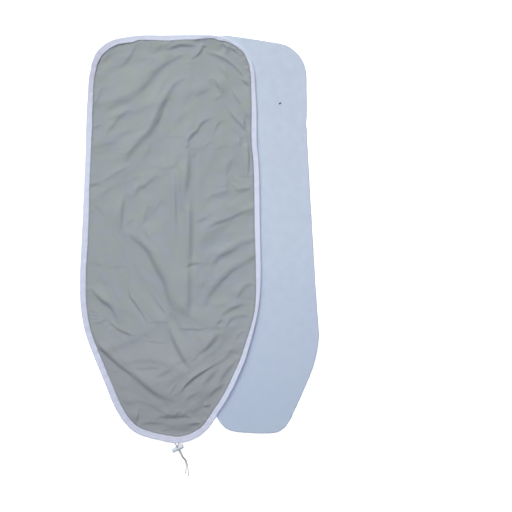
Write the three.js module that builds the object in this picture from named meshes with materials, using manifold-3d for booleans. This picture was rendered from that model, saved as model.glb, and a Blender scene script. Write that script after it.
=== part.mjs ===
// Drawcord cover for an ironing board, laid out flat on top of its loose felt underlay.
// The cord runs in a casing of folded tape round the edge and ends in a sprung cord lock at the nose.
// Millimetres. +X across the cover, +Y towards its wide back end, +Z up from the surface it lies on.
import * as THREE from "three";
import { mergeVertices } from "three/addons/utils/BufferGeometryUtils.js";
import Module from "manifold-3d";

// Cut outline of the cover: lengths along the centreline from the nose tip, full widths, corner radii.
const coverNoseLength = 81;
const coverTaperLength = 327;
const coverSideLength = 786;
const coverBackCrown = 13;
const coverNoseWidth = 286;
const coverShoulderWidth = 540;
const coverBackWidth = 471;
const coverTipShift = 8.4;
const coverTipRadius = 156;
const coverNoseRadius = 192;
const coverShoulderRadius = 613;
const coverBackRadius = 119.5;
const coverCrownRadius = 540;
const coverTurn = -0.009;

// Outline of the felt underlay, measured the same way, and where it lies under the cover.
const padNoseLength = 14.5;
const padTaperLength = 225.5;
const padSideLength = 907.5;
const padBackCrown = 2;
const padBackSlant = 52;
const padNoseWidth = 188;
const padShoulderWidth = 380;
const padBackWidth = 316;
const padTipRadius = 350;
const padNoseRadius = 67;
const padShoulderRadius = 320;
const padBackRadius = 89;
const padCrownRadius = 150;
const padOffsetX = 249.4;
const padOffsetY = 46.3;
const padTurn = 0.015;
const padThickness = 5;
const padEdgeRound = 1.5;

// Cloth, casing tape and drawcord.
const clothThickness = 1.2;
const tapeThickness = 0.8;
const bindingWidth = 15;
const cordDiameter = 3;
const cordBend = 8.5;
const slitOffset = 15;
const layGap = 0.3;
const clothClear = 5;

// How the cloth comes down beside the underlay and rises to the cord lock at the nose.
const drapeStart = 15;
const drapeRun = 80;
const noseRiseRun = 130;
const foldFade = 60;

// Cord lock: a barrel with a blind bore, a sprung plunger in it and a cross hole for both cord ends.
const lockDiameter = 14;
const lockReach = 9.6;
const lockBearing = -1.11;
const barrelLength = 23.4;
const barrelWall = 1.8;
const barrelEndRound = 2;
const barrelMouthChamfer = 0.6;
const plungerHeadDiameter = 12.8;
const plungerHeadLength = 6;
const plungerHeadRound = 1.2;
const plungerTipLength = 1.6;
const plungerTravel = 4;
const plungerStop = 0.5;
const mouthLand = 0.6;
const springWire = 0.7;
const springDiameter = 8;
const springTurns = 4;

// Main folds of the laid cloth, in the cover's own outline frame: a ridge from one point to another.
const folds = [
  { from: [16, 1148], to: [-185, 989], height: 5, width: 26 },
  { from: [109, 1148], to: [214, 1052], height: 4, width: 26 },
  { from: [0, 1058], to: [-207, 771], height: 6, width: 28 },
  { from: [-153, 629], to: [-87, 394], height: 6, width: 28 },
  { from: [-101, 620], to: [23, 385], height: 5, width: 32 },
  { from: [228, 559], to: [95, 409], height: 5, width: 28 },
  { from: [220, 394], to: [59, 255], height: 5, width: 28 },
  { from: [-200, 313], to: [-4, 148], height: 6, width: 28 },
  { from: [134, 255], to: [28, 168], height: 6, width: 24 },
];

// Free cord ends beyond the cord lock: across from the cords' middle, along from the lock, and height.
const longTailRoute = [
  [1.4, 37, 5.6],
  [0.9, 44, 3.4],
  [0.5, 51, 1.9],
  [-0.7, 58, 1.7],
  [-3.2, 65, 1.7],
  [-6.4, 72, 1.7],
  [-10.3, 79, 1.7],
  [-14.2, 85.5, 1.7],
];
const shortTailRoute = [
  [-2, 37, 5.6],
  [-2.9, 44, 3.4],
  [-4.6, 51, 1.9],
  [-7.4, 57, 1.7],
  [-10.9, 63.5, 1.7],
  [-14.4, 69.5, 1.7],
  [-17.7, 75, 1.7],
];
const straightCord = 30;

// Counts of facets.
const edgeSteps = 84;
const casingArcSteps = 6;
const cordSides = 8;
const bendSteps = 4;
const roundSteps = 22;
const roundedEdgeSteps = 4;
const holeArcSteps = 3;
const springSides = 5;
const springStepsPerTurn = 8;
const padArcSteps = 5;
const padEdgeSteps = 2;
const mergeDistance = 1e-4;

// Sizes that follow from the ones above.
const cordRadius = cordDiameter / 2;
const cordSpacing = cordDiameter + layGap;
const slotHalf = clothThickness / 2 + layGap;
const pocketRadius = Math.max(cordRadius + layGap, slotHalf);
const casingRadius = pocketRadius + tapeThickness;
const clothInset = casingRadius + pocketRadius + layGap;
const clothMargin = bindingWidth + clothClear;
const lockRadius = lockDiameter / 2;
const boreRadius = lockRadius - barrelWall;
const stemRadius = boreRadius - layGap;
const cordHoleWidth = cordSpacing + cordDiameter + 2 * layGap;
const cordHoleHeight = cordDiameter + 2 * layGap;
const mouthToCord = cordHoleWidth / 2 + plungerTravel + mouthLand;
const stemEnd = cordHoleWidth / 2 + plungerTipLength;
const boreEnd = barrelLength - mouthToCord - barrelWall;

const wasm = await Module();
wasm.setup();

// A closed geometry as a solid, with its shared corners merged and its empty triangles dropped.
function solidOf(geometry) {
  const bare = new THREE.BufferGeometry();
  bare.setAttribute("position", geometry.getAttribute("position"));
  bare.setIndex(geometry.getIndex());
  const merged = mergeVertices(bare, mergeDistance);
  const corners = merged.getIndex().array;
  const kept = [];
  for (let i = 0; i < corners.length; i += 3) {
    const [a, b, c] = corners.slice(i, i + 3);
    if (a !== b && b !== c && c !== a) kept.push(a, b, c);
  }
  const vertProperties = merged.getAttribute("position").array;
  return new wasm.Manifold(new wasm.Mesh({ numProp: 3, vertProperties, triVerts: new Uint32Array(kept) }));
}

// The geometry of a solid that was cut.
function geometryOf(solid) {
  const made = solid.getMesh();
  const geometry = new THREE.BufferGeometry();
  geometry.setAttribute("position", new THREE.BufferAttribute(made.vertProperties, 3));
  geometry.setIndex(new THREE.BufferAttribute(made.triVerts, 1));
  return geometry;
}

// A surface through rings of points that run right-handed about the way of travel.
function loft(rings, closed) {
  const sides = rings[0].length;
  const positions = rings.flat().flatMap((point) => point.toArray());
  const index = [];
  const spans = closed ? rings.length : rings.length - 1;
  for (let ring = 0; ring < spans; ring += 1) {
    const here = ring * sides;
    const next = ((ring + 1) % rings.length) * sides;
    for (let side = 0; side < sides; side += 1) {
      const other = (side + 1) % sides;
      index.push(here + side, here + other, next + side);
      index.push(here + other, next + other, next + side);
    }
  }
  if (!closed) {
    const last = (rings.length - 1) * sides;
    for (let side = 1; side < sides - 1; side += 1) {
      index.push(0, side + 1, side);
      index.push(last, last + side, last + side + 1);
    }
  }
  const geometry = new THREE.BufferGeometry();
  geometry.setAttribute("position", new THREE.Float32BufferAttribute(positions, 3));
  geometry.setIndex(index);
  return geometry;
}

// Rings of a round tube along a row of points.
function tubeRings(points, radius, sides) {
  const up = new THREE.Vector3(0, 0, 1);
  return points.map((point, i) => {
    const before = points[Math.max(i - 1, 0)];
    const after = points[Math.min(i + 1, points.length - 1)];
    const back = point.clone().sub(before).normalize();
    const ahead = after.clone().sub(point).normalize().add(back).normalize();
    const side = new THREE.Vector3().crossVectors(ahead, up).normalize();
    const over = new THREE.Vector3().crossVectors(side, ahead);
    return Array.from({ length: sides }, (_, k) => {
      const angle = (2 * Math.PI * (k + 0.5)) / sides;
      const out = side.clone().multiplyScalar(Math.cos(angle)).addScaledVector(over, -Math.sin(angle));
      return out.multiplyScalar(radius).add(point);
    });
  });
}

// A closed path along straight edges with an arc at each corner, starting halfway round the first corner.
// An arc is made smaller where its edges are too short for it.
function filletedPath(corners) {
  const count = corners.length;
  const turns = corners.map(({ x, y }, i) => {
    const before = corners[(i + count - 1) % count];
    const after = corners[(i + 1) % count];
    const into = Math.atan2(y - before.y, x - before.x);
    const out = Math.atan2(after.y - y, after.x - x);
    return { into, turn: THREE.MathUtils.euclideanModulo(out - into, 2 * Math.PI) };
  });
  const wanted = corners.map(({ radius }, i) => radius * Math.tan(turns[i].turn / 2));
  const room = (i, j) => {
    const edgeLength = Math.hypot(corners[i].x - corners[j].x, corners[i].y - corners[j].y);
    return Math.min(1, edgeLength / (wanted[i] + wanted[j]));
  };
  const arcs = corners.map(({ x, y }, i) => {
    const fit = Math.min(room(i, (i + 1) % count), room(i, (i + count - 1) % count));
    const tangent = wanted[i] * fit;
    const { into, turn } = turns[i];
    const radius = tangent / Math.tan(turn / 2);
    const start = into - Math.PI / 2;
    const centreX = x - tangent * Math.cos(into) - radius * Math.cos(start);
    const centreY = y - tangent * Math.sin(into) - radius * Math.sin(start);
    return { centreX, centreY, radius, start, end: start + turn };
  });
  const path = new THREE.Path();
  const addArc = ({ centreX, centreY, radius }, start, end) => {
    path.absarc(centreX, centreY, radius, start, end, false);
  };
  const middle = (arcs[0].start + arcs[0].end) / 2;
  addArc(arcs[0], middle, arcs[0].end);
  arcs.slice(1).forEach((arc) => addArc(arc, arc.start, arc.end));
  addArc(arcs[0], arcs[0].start, middle);
  return path;
}

// How far a point lies inside a closed outline, negative outside it.
function depthInside(outline, x, y) {
  let nearest = Infinity;
  let inside = false;
  outline.forEach((b, i) => {
    const a = outline[(i + outline.length - 1) % outline.length];
    const along = ((x - a.x) * (b.x - a.x) + (y - a.y) * (b.y - a.y)) / a.distanceToSquared(b);
    const share = THREE.MathUtils.clamp(along, 0, 1);
    const gapX = x - a.x - share * (b.x - a.x);
    const gapY = y - a.y - share * (b.y - a.y);
    nearest = Math.min(nearest, Math.hypot(gapX, gapY));
    const crosses = a.y > y !== b.y > y;
    if (crosses && x < a.x + ((y - a.y) * (b.x - a.x)) / (b.y - a.y)) inside = !inside;
  });
  return inside ? nearest : -nearest;
}

// A named piece in its group.
function addPiece(group, name, geometry, color, roughness, metalness) {
  const material = new THREE.MeshStandardMaterial({ color, roughness, metalness });
  const piece = new THREE.Mesh(geometry, material);
  piece.name = name;
  group.add(piece);
  return piece;
}

const laid = new THREE.Group();
const cover = new THREE.Group();
const underlay = new THREE.Group();
const cordLock = new THREE.Group();
laid.add(cover, underlay, cordLock);
cover.rotation.z = coverTurn;
underlay.position.set(padOffsetX, padOffsetY, 0);
underlay.rotation.z = padTurn;
laid.updateMatrixWorld(true);

// Felt underlay: one flat sheet, cut a little narrower than the cover, with soft edges.
const padShoulderY = padNoseLength + padTaperLength;
const padBackY = padShoulderY + padSideLength;
const padPath = filletedPath([
  { x: 0, y: 0, radius: padTipRadius },
  { x: padNoseWidth / 2, y: padNoseLength, radius: padNoseRadius },
  { x: padShoulderWidth / 2, y: padShoulderY, radius: padShoulderRadius },
  { x: padBackWidth / 2, y: padBackY - padBackSlant / 2, radius: padBackRadius },
  { x: 0, y: padBackY + padBackCrown, radius: padCrownRadius },
  { x: -padBackWidth / 2, y: padBackY + padBackSlant / 2, radius: padBackRadius },
  { x: -padShoulderWidth / 2, y: padShoulderY, radius: padShoulderRadius },
  { x: -padNoseWidth / 2, y: padNoseLength, radius: padNoseRadius },
]);
const padOutline = padPath.getPoints(padArcSteps);
padOutline.pop();
const padGeometry = new THREE.ExtrudeGeometry(new THREE.Shape(padOutline), {
  depth: padThickness - 2 * padEdgeRound,
  bevelThickness: padEdgeRound,
  bevelSize: padEdgeRound,
  bevelOffset: -padEdgeRound,
  bevelSegments: padEdgeSteps,
});
padGeometry.translate(0, 0, padEdgeRound);
const padPiece = addPiece(underlay, "felt_pad", padGeometry, 0xbac7d9, 0.95, 0);

// Edge of the cover, as stations that the cloth, the casing and the cord in it all share.
// The first station is the slit at the nose where the cord comes out.
const coverShoulderY = coverNoseLength + coverTaperLength;
const coverBackY = coverShoulderY + coverSideLength;
const coverPath = filletedPath([
  { x: coverTipShift, y: 0, radius: coverTipRadius },
  { x: coverNoseWidth / 2, y: coverNoseLength, radius: coverNoseRadius },
  { x: coverShoulderWidth / 2, y: coverShoulderY, radius: coverShoulderRadius },
  { x: coverBackWidth / 2, y: coverBackY, radius: coverBackRadius },
  { x: 0, y: coverBackY + coverBackCrown, radius: coverCrownRadius },
  { x: -coverBackWidth / 2, y: coverBackY, radius: coverBackRadius },
  { x: -coverShoulderWidth / 2, y: coverShoulderY, radius: coverShoulderRadius },
  { x: -coverNoseWidth / 2, y: coverNoseLength, radius: coverNoseRadius },
]);
const slitShare = slitOffset / coverPath.getLength();
const edge = Array.from({ length: edgeSteps }, (_, i) => coverPath.getPoint((slitShare + i / edgeSteps) % 1));
const inward = edge.map((point, i) => {
  const before = edge[(i + edgeSteps - 1) % edgeSteps];
  const after = edge[(i + 1) % edgeSteps];
  const back = point.clone().sub(before).normalize();
  const ahead = after.clone().sub(point).normalize();
  const halfTurn = back.angleTo(ahead) / 2;
  const along = back.add(ahead).normalize();
  return new THREE.Vector2(-along.y, along.x).divideScalar(Math.cos(halfTurn));
});
const slit = edge[0];

// Height of the middle of the cloth: over the underlay, down beside it, and drawn up at the slit
// until the cord leaves level with the hole of the cord lock.
function clothHeight(x, y) {
  const place = underlay.worldToLocal(cover.localToWorld(new THREE.Vector3(x, y, 0)));
  const outside = -depthInside(padOutline, place.x, place.y);
  const drape = 1 - THREE.MathUtils.smoothstep(outside, drapeStart, drapeStart + drapeRun);
  const fromSlit = Math.hypot(x - slit.x, y - slit.y);
  const drawn = 1 - THREE.MathUtils.smoothstep(fromSlit, 0, noseRiseRun);
  return casingRadius + (padThickness + layGap) * drape + (lockRadius - casingRadius) * drawn;
}

// A point beside an edge station, so far in from the edge and so far above the middle of the cloth.
function besideEdge(station, inset, above) {
  const point = edge[station].clone().addScaledVector(inward[station], inset);
  return new THREE.Vector3(point.x, point.y, clothHeight(point.x, point.y) + above);
}

// Cloth panel: rings that shrink from the edge in the casing towards the centreline, with the folds.
// Each ring is a share of the way to the centreline.
const clothRings = [0.12, 0.3, 0.5, 0.7, 0.86];
const spineLow = coverNoseLength + coverNoseWidth / 2;
const spineHigh = coverBackY - coverBackWidth / 2;

function foldHeight(x, y) {
  const fade = THREE.MathUtils.smoothstep(depthInside(edge, x, y), clothMargin, clothMargin + foldFade);
  const total = folds.reduce((sum, { from, to, height, width }) => {
    const wayX = to[0] - from[0];
    const wayY = to[1] - from[1];
    const along = ((x - from[0]) * wayX + (y - from[1]) * wayY) / (wayX ** 2 + wayY ** 2);
    const share = THREE.MathUtils.clamp(along, 0, 1);
    const away = Math.hypot(x - from[0] - share * wayX, y - from[1] - share * wayY);
    return sum + height * Math.exp(-((away / width) ** 2));
  }, 0);
  return fade * total;
}

function clothRing(share) {
  return edge.map((_, station) => {
    const outer = besideEdge(station, clothMargin, 0);
    const spine = new THREE.Vector3(0, THREE.MathUtils.clamp(outer.y, spineLow, spineHigh), 0);
    const point = outer.lerp(spine, share);
    return point.setZ(clothHeight(point.x, point.y) + foldHeight(point.x, point.y));
  });
}

function clothGeometry() {
  const edgeRing = edge.map((_, station) => besideEdge(station, clothInset, 0));
  const rings = [edgeRing, clothRing(0), ...clothRings.map(clothRing)];
  const half = new THREE.Vector3(0, 0, clothThickness / 2);
  const upper = rings.map((ring) => ring.map((point) => point.clone().add(half)));
  const lower = rings.map((ring) => ring.map((point) => point.clone().sub(half)));
  const skin = loft([...lower.reverse(), ...upper], false);
  const positions = skin.getAttribute("position");
  const walls = Array.from(skin.getIndex().array).slice(0, 6 * edgeSteps * (2 * rings.length - 1));
  const last = (2 * rings.length - 1) * edgeSteps;
  const inner = rings.at(-1).map((point) => new THREE.Vector2(point.x, point.y));
  const caps = THREE.ShapeUtils.triangulateShape(inner, []);
  const capIndex = caps.flatMap(([a, b, c]) => [last + a, last + b, last + c, c, b, a]);
  const geometry = new THREE.BufferGeometry();
  geometry.setAttribute("position", positions);
  geometry.setIndex([...walls, ...capIndex]);
  return geometry;
}
const clothPiece = addPiece(cover, "cover_panel", clothGeometry(), 0x98a0a3, 0.62, 0.1);

// Edge casing: tape folded round the cord and the edge of the cloth, with a slit at the nose.
function casingSection() {
  const lip = slotHalf + tapeThickness;
  const outerFrom = Math.asin(lip / casingRadius);
  const innerFrom = Math.asin(slotHalf / pocketRadius);
  const arc = (radius, from) =>
    Array.from({ length: casingArcSteps + 1 }, (_, k) => {
      const angle = from + ((2 * Math.PI - 2 * from) * k) / casingArcSteps;
      return [casingRadius + radius * Math.cos(angle), radius * Math.sin(angle)];
    });
  const outer = [[bindingWidth, lip], ...arc(casingRadius, outerFrom), [bindingWidth, -lip]];
  const inner = [[bindingWidth, -slotHalf], ...arc(pocketRadius, innerFrom).reverse(), [bindingWidth, slotHalf]];
  return [...outer, ...inner];
}

const slitLength = 2 * (cordBend + cordSpacing / 2 + layGap);
const slitDepth = 2 * (casingRadius + pocketRadius);
const slitHeight = 2 * pocketRadius;
const slitCut = new THREE.BoxGeometry(slitLength, slitDepth, slitHeight);
slitCut.rotateZ(inward[0].angle() - Math.PI / 2);
slitCut.translate(slit.x, slit.y, clothHeight(slit.x, slit.y));
const casingRings = edge.map((_, station) => {
  return casingSection().map(([inset, above]) => besideEdge(station, inset, above));
});
const casingSolid = solidOf(loft(casingRings, true)).subtract(solidOf(slitCut));
const bindingPiece = addPiece(cover, "edge_binding", geometryOf(casingSolid), 0xd2dae8, 0.8, 0);

// Drawcord in the casing: out of the slit on one side, all the way round, and out on the other side.
const outward = new THREE.Vector3(-inward[0].x, -inward[0].y, 0).normalize();
const sideways = new THREE.Vector3(-outward.y, outward.x, 0);
const casingMiddle = edge.map((_, station) => besideEdge(station, casingRadius, 0));

// Points of the bend by which one end of the cord leaves the casing, from the casing outwards.
function cordBendPoints(neighbour, hand) {
  const corner = casingMiddle[0].clone().addScaledVector(sideways, (hand * cordSpacing) / 2);
  const reach = cordBend + cordSpacing / 2;
  const way = casingMiddle[neighbour].clone().sub(casingMiddle[0]).normalize();
  const inCasing = casingMiddle[0].clone().addScaledVector(way, reach);
  const end = corner.clone().addScaledVector(outward, cordBend);
  return new THREE.QuadraticBezierCurve3(inCasing, corner, end).getPoints(bendSteps);
}
const rightBend = cordBendPoints(1, 1);
const leftBend = cordBendPoints(edgeSteps - 1, -1);
const casingRoute = [...rightBend.slice().reverse(), ...casingMiddle.slice(1), ...leftBend];
const casingCord = loft(tubeRings(casingRoute, cordRadius, cordSides), false);
const cordPiece = addPiece(cover, "drawcord_in_casing", casingCord, 0x9a9a9a, 0.85, 0);

// Cord lock, lying on the surface with both cord ends through its cross hole.
// Its own frame has +X along the barrel towards the closed end, and the cord leaves along -Y.
const cordExit = casingMiddle[0].clone().addScaledVector(outward, cordBend);
cover.localToWorld(cordExit);
const cordWay = new THREE.Vector3(Math.cos(lockBearing), Math.sin(lockBearing), 0);
cordLock.position.copy(cordExit).addScaledVector(cordWay, lockReach).setZ(lockRadius);
cordLock.rotation.z = lockBearing + Math.PI / 2;
laid.updateMatrixWorld(true);

// A turned piece along X from a profile of [distance along, radius] pairs.
function turned(profile) {
  const points = profile.map(([along, radius]) => new THREE.Vector2(radius, along));
  return new THREE.LatheGeometry(points, roundSteps).rotateZ(-Math.PI / 2);
}

// Points of a rounded edge of a turned piece, from its end face to its side.
function roundedEdge(end, radius, round, facing) {
  return Array.from({ length: roundedEdgeSteps + 1 }, (_, k) => {
    const angle = (k * Math.PI) / 2 / roundedEdgeSteps;
    return [end - facing * round * (1 - Math.cos(angle)), radius - round * (1 - Math.sin(angle))];
  });
}

// An oval hole through the lock from side to side, between two places along the barrel.
function crossHole(from, to) {
  const half = cordHoleHeight / 2;
  const oval = new THREE.Shape();
  oval.absarc(to - half, 0, half, -Math.PI / 2, Math.PI / 2, false);
  oval.absarc(from + half, 0, half, Math.PI / 2, 1.5 * Math.PI, false);
  const through = { depth: 2 * lockDiameter, bevelEnabled: false, curveSegments: holeArcSteps };
  return new THREE.ExtrudeGeometry(oval, through).translate(0, 0, -lockDiameter).rotateX(Math.PI / 2);
}

const barrelMouth = -mouthToCord;
const barrelEnd = barrelMouth + barrelLength;
const barrelOutside = [
  [boreEnd, 0],
  [boreEnd, boreRadius],
  [barrelMouth, boreRadius],
  [barrelMouth, lockRadius - barrelMouthChamfer],
  [barrelMouth + barrelMouthChamfer, lockRadius],
  ...roundedEdge(barrelEnd, lockRadius, barrelEndRound, 1).reverse(),
  [barrelEnd, 0],
];
const cordHole = crossHole(-cordHoleWidth / 2, cordHoleWidth / 2);
const barrelSolid = solidOf(turned(barrelOutside)).subtract(solidOf(cordHole));
addPiece(cordLock, "cord_lock_barrel", geometryOf(barrelSolid), 0xd5dce6, 0.35, 0);

const headRadius = plungerHeadDiameter / 2;
const headInner = barrelMouth - plungerTravel - plungerStop;
const headOuter = headInner - plungerHeadLength;
const plungerOutside = [
  [headOuter, 0],
  ...roundedEdge(headOuter, headRadius, plungerHeadRound, -1),
  [headInner, headRadius],
  [headInner, stemRadius],
  [stemEnd, stemRadius],
  [stemEnd, 0],
];
const plungerHole = crossHole(-cordHoleWidth / 2 - plungerTravel, cordHoleWidth / 2);
const plungerSolid = solidOf(turned(plungerOutside)).subtract(solidOf(plungerHole));
addPiece(cordLock, "cord_lock_plunger", geometryOf(plungerSolid), 0xc9d1de, 0.35, 0);

// Spring of the cord lock, between the end of the plunger and the end of the bore.
const springLength = boreEnd - stemEnd - 2 * layGap - springWire;
const springSteps = springTurns * springStepsPerTurn;
const springPoints = Array.from({ length: springSteps + 1 }, (_, k) => {
  const angle = (2 * Math.PI * k) / springStepsPerTurn;
  const radius = (springDiameter - springWire) / 2;
  const along = stemEnd + layGap + springWire / 2 + (springLength * k) / springSteps;
  return new THREE.Vector3(along, radius * Math.cos(angle), radius * Math.sin(angle));
});
let springGap = Infinity;
springPoints.forEach((a, i) => {
  springPoints.slice(i + springStepsPerTurn / 2).forEach((b) => {
    springGap = Math.min(springGap, a.distanceTo(b) - springWire);
  });
});
console.log("least gap between the spring's turns, mm:", springGap.toFixed(2));

function springGeometry() {
  const rings = springPoints.map((point, k) => {
    const angle = (2 * Math.PI * k) / springStepsPerTurn;
    const out = new THREE.Vector3(0, Math.cos(angle), Math.sin(angle));
    const alongBarrel = new THREE.Vector3(1, 0, 0);
    return Array.from({ length: springSides }, (_, side) => {
      const turn = (2 * Math.PI * side) / springSides;
      const offset = out.clone().multiplyScalar(-Math.cos(turn)).addScaledVector(alongBarrel, Math.sin(turn));
      return offset.multiplyScalar(springWire / 2).add(point);
    });
  });
  return loft(rings, false);
}
addPiece(cordLock, "cord_lock_spring", springGeometry(), 0xb8bcc2, 0.3, 1);

// Free cord ends: straight out of the slit and through the lock, then down to the surface.
function tailGeometry(hand, bend, route) {
  const start = cordLock.worldToLocal(cover.localToWorld(bend.at(-1).clone()));
  const way = start.clone().sub(cordLock.worldToLocal(cover.localToWorld(bend.at(-1).clone().sub(outward))));
  const across = (hand * cordSpacing) / 2;
  const first = start.clone().addScaledVector(way, layGap);
  const points = [first, first.clone().addScaledVector(way, cordRadius / 2)];
  for (let along = -lockRadius; along <= straightCord; along += lockRadius) {
    points.push(new THREE.Vector3(across, -along, 0));
  }
  route.forEach(([x, along, height]) => points.push(new THREE.Vector3(x, -along, height - lockRadius)));
  const path = new THREE.CatmullRomCurve3(points);
  const section = new THREE.Shape();
  section.absarc(0, 0, cordRadius, 0, 2 * Math.PI, false);
  const steps = Math.round(path.getLength() / (2 * cordDiameter));
  return new THREE.ExtrudeGeometry(section, { steps, curveSegments: cordSides / 2, extrudePath: path });
}
addPiece(cordLock, "drawcord_tail_long", tailGeometry(1, rightBend, longTailRoute), 0x9a9a9a, 0.85, 0);
addPiece(cordLock, "drawcord_tail_short", tailGeometry(-1, leftBend, shortTailRoute), 0x9a9a9a, 0.85, 0);

// The origin is at the middle of the cover and the underlay, on the surface that they lie on.
const extent = new THREE.Box3();
[clothPiece, bindingPiece, cordPiece, padPiece].forEach((piece) => extent.expandByObject(piece, true));
const middle = extent.getCenter(new THREE.Vector3());
laid.position.set(-middle.x, -middle.y, -extent.min.z);

const coverSet = new THREE.Group();
coverSet.add(laid);
export default coverSet;
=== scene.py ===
import bpy
import numpy as np
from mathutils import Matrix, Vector, geometry


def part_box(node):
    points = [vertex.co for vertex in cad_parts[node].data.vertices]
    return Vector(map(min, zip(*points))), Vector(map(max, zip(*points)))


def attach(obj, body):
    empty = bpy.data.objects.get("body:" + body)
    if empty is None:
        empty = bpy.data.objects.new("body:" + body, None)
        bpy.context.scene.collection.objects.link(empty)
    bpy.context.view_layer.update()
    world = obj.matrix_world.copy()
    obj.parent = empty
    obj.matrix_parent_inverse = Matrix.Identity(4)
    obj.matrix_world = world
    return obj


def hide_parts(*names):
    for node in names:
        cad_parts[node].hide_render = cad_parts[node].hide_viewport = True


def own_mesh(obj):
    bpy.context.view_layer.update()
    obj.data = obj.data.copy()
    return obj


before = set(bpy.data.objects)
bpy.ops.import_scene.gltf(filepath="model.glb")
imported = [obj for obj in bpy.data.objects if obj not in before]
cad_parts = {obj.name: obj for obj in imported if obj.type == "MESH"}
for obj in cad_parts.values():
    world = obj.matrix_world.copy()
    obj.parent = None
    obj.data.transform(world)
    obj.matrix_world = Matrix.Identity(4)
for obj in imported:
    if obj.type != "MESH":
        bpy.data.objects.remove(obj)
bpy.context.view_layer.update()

# View: the set lies flat on the floor and is seen from straight above, with its nose nearest the viewer.
# The picture's width on the floor fixes the camera's height for its lens.
VIEW_WIDTH = 1.4848
VIEW_MIDDLE = (0.1665, -0.0467)
LENS = 60
SENSOR = 36

lens = bpy.data.cameras.new("camera")
lens.lens = LENS
lens.sensor_width = SENSOR
camera = bpy.data.objects.new("camera", lens)
camera.location = (*VIEW_MIDDLE, VIEW_WIDTH * LENS / SENSOR)
scene = bpy.context.scene
scene.collection.objects.link(camera)
scene.camera = camera
scene.view_settings.view_transform = "Standard"

# Studio: a white floor that keeps the soft shadow of what lies on it, a dim surround with a cold cast,
# one large softbox beyond the back end of the cover, a little to the left, and a smaller one overhead.
FLOOR_HALF = 6.0
FLOOR_DROP = 0.0004
FLOOR_WHITE = "#EBEBEB"
FLOOR_LIFT = 0.72
AMBIENT = 0.13
SURROUND_TINT = (0.97, 1.0, 1.12, 1)
SOFTBOX_SIZE = 3.5
SOFTBOX_AT = (-0.95, 3.65, 2.9)
SOFTBOX_AIM = (0.0, 0.0, 0.0)
SOFTBOX_WATTS = 203
SOFTBOX_TINT = (1.0, 0.985, 0.90)
OVERHEAD_SIZE = 1.0
OVERHEAD_AT = (0.05, -0.22, 3.0)
OVERHEAD_AIM = (0.05, -0.22, 0.0)
OVERHEAD_WATTS = 4.2
OVERHEAD_TINT = (0.98, 1.0, 1.12)
OVERHEAD_SPREAD = 1.2


def linear(code):
    """sRGB hex to linear RGBA: each channel by the sRGB curve, a straight toe and a 2.4 power above it."""
    value = np.array([int(code[i : i + 2], 16) for i in (1, 3, 5)]) / 255
    straight = np.where(value <= 0.04045, value / 12.92, ((value + 0.055) / 1.055) ** 2.4)
    return (*straight.tolist(), 1.0)


def add(tree, kind, values=None, links=None, **settings):
    """Adds one shader node with its settings, its socket values and the sockets that feed it."""
    node = tree.nodes.new("ShaderNode" + kind)
    for name, value in settings.items():
        setattr(node, name, value)
    for socket, value in (values or {}).items():
        node.inputs[socket].default_value = value
    for socket, source in (links or {}).items():
        tree.links.new(source, node.inputs[socket])
    return node


def fresh_tree(owner):
    """An empty node tree of a material or the world."""
    owner.use_nodes = True
    owner.node_tree.nodes.clear()
    return owner.node_tree


def start_material(name):
    """A new material and its empty node tree."""
    made = bpy.data.materials.new(name)
    return made, fresh_tree(made)


def put_mesh(name, points, faces, material):
    """A smooth mesh object at the origin from points in millimetres and faces as rows of corners."""
    mesh = bpy.data.meshes.new(name)
    flat = np.asarray(points, float).reshape(-1, 3) / 1000
    mesh.from_pydata(flat.tolist(), [], [list(face) for face in faces])
    mesh.polygons.foreach_set("use_smooth", np.ones(len(mesh.polygons), bool))
    mesh.materials.append(material)
    mesh.update()
    made = bpy.data.objects.new(name, mesh)
    scene.collection.objects.link(made)
    return made


def seen_rays(tree):
    """1 for rays that come straight from the camera or by way of gloss or glass, and 0 for lighting rays."""
    rays = add(tree, "LightPath")
    gloss = add(tree, "Math", None, {0: rays.outputs["Is Camera Ray"], 1: rays.outputs["Is Glossy Ray"]},
                operation="MAXIMUM")
    return add(tree, "Math", None, {0: gloss.outputs[0], 1: rays.outputs["Is Transmission Ray"]},
               operation="MAXIMUM").outputs[0]


def floor_paint():
    """Matt white studio paint: a diffuse coat that takes shadow, lifted to white where the camera sees it."""
    made, tree = start_material("white_floor_paint")
    coat = add(tree, "BsdfDiffuse", {"Color": linear(FLOOR_WHITE)})
    lift = add(tree, "Math", {1: FLOOR_LIFT}, {0: seen_rays(tree)}, operation="MULTIPLY")
    glow = add(tree, "Emission", {"Color": (1, 1, 1, 1)}, {"Strength": lift.outputs[0]})
    both = add(tree, "AddShader", None, {0: coat.outputs[0], 1: glow.outputs[0]})
    add(tree, "OutputMaterial", None, {"Surface": both.outputs[0]})
    return made


corner = 1000 * FLOOR_HALF
floor_points = [(x, y, -1000 * FLOOR_DROP) for x, y in
                ((-corner, -corner), (corner, -corner), (corner, corner), (-corner, corner))]
put_mesh("studio_floor", floor_points, [(0, 1, 2, 3)], floor_paint())

scene.world = bpy.data.worlds.new("studio")
sky = fresh_tree(scene.world)
level = add(sky, "MapRange", {"To Min": AMBIENT, "To Max": 1.0}, {"Value": seen_rays(sky)})
surround = add(sky, "Background", {"Color": SURROUND_TINT}, {"Strength": level.outputs["Result"]})
add(sky, "OutputWorld", None, {"Surface": surround.outputs[0]})


def put_lamp(name, size, place, aim, watts, tint, spread):
    """A square lamp at a place, turned to a point, whose light spreads over that whole angle."""
    lamp = bpy.data.lights.new(name, "AREA")
    lamp.size = size
    lamp.energy = watts
    lamp.color = tint
    lamp.spread = spread
    stand = bpy.data.objects.new(name, lamp)
    stand.location = place
    stand.rotation_mode = "QUATERNION"
    stand.rotation_quaternion = (Vector(place) - Vector(aim)).to_track_quat("Z", "Y")
    scene.collection.objects.link(stand)


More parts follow.
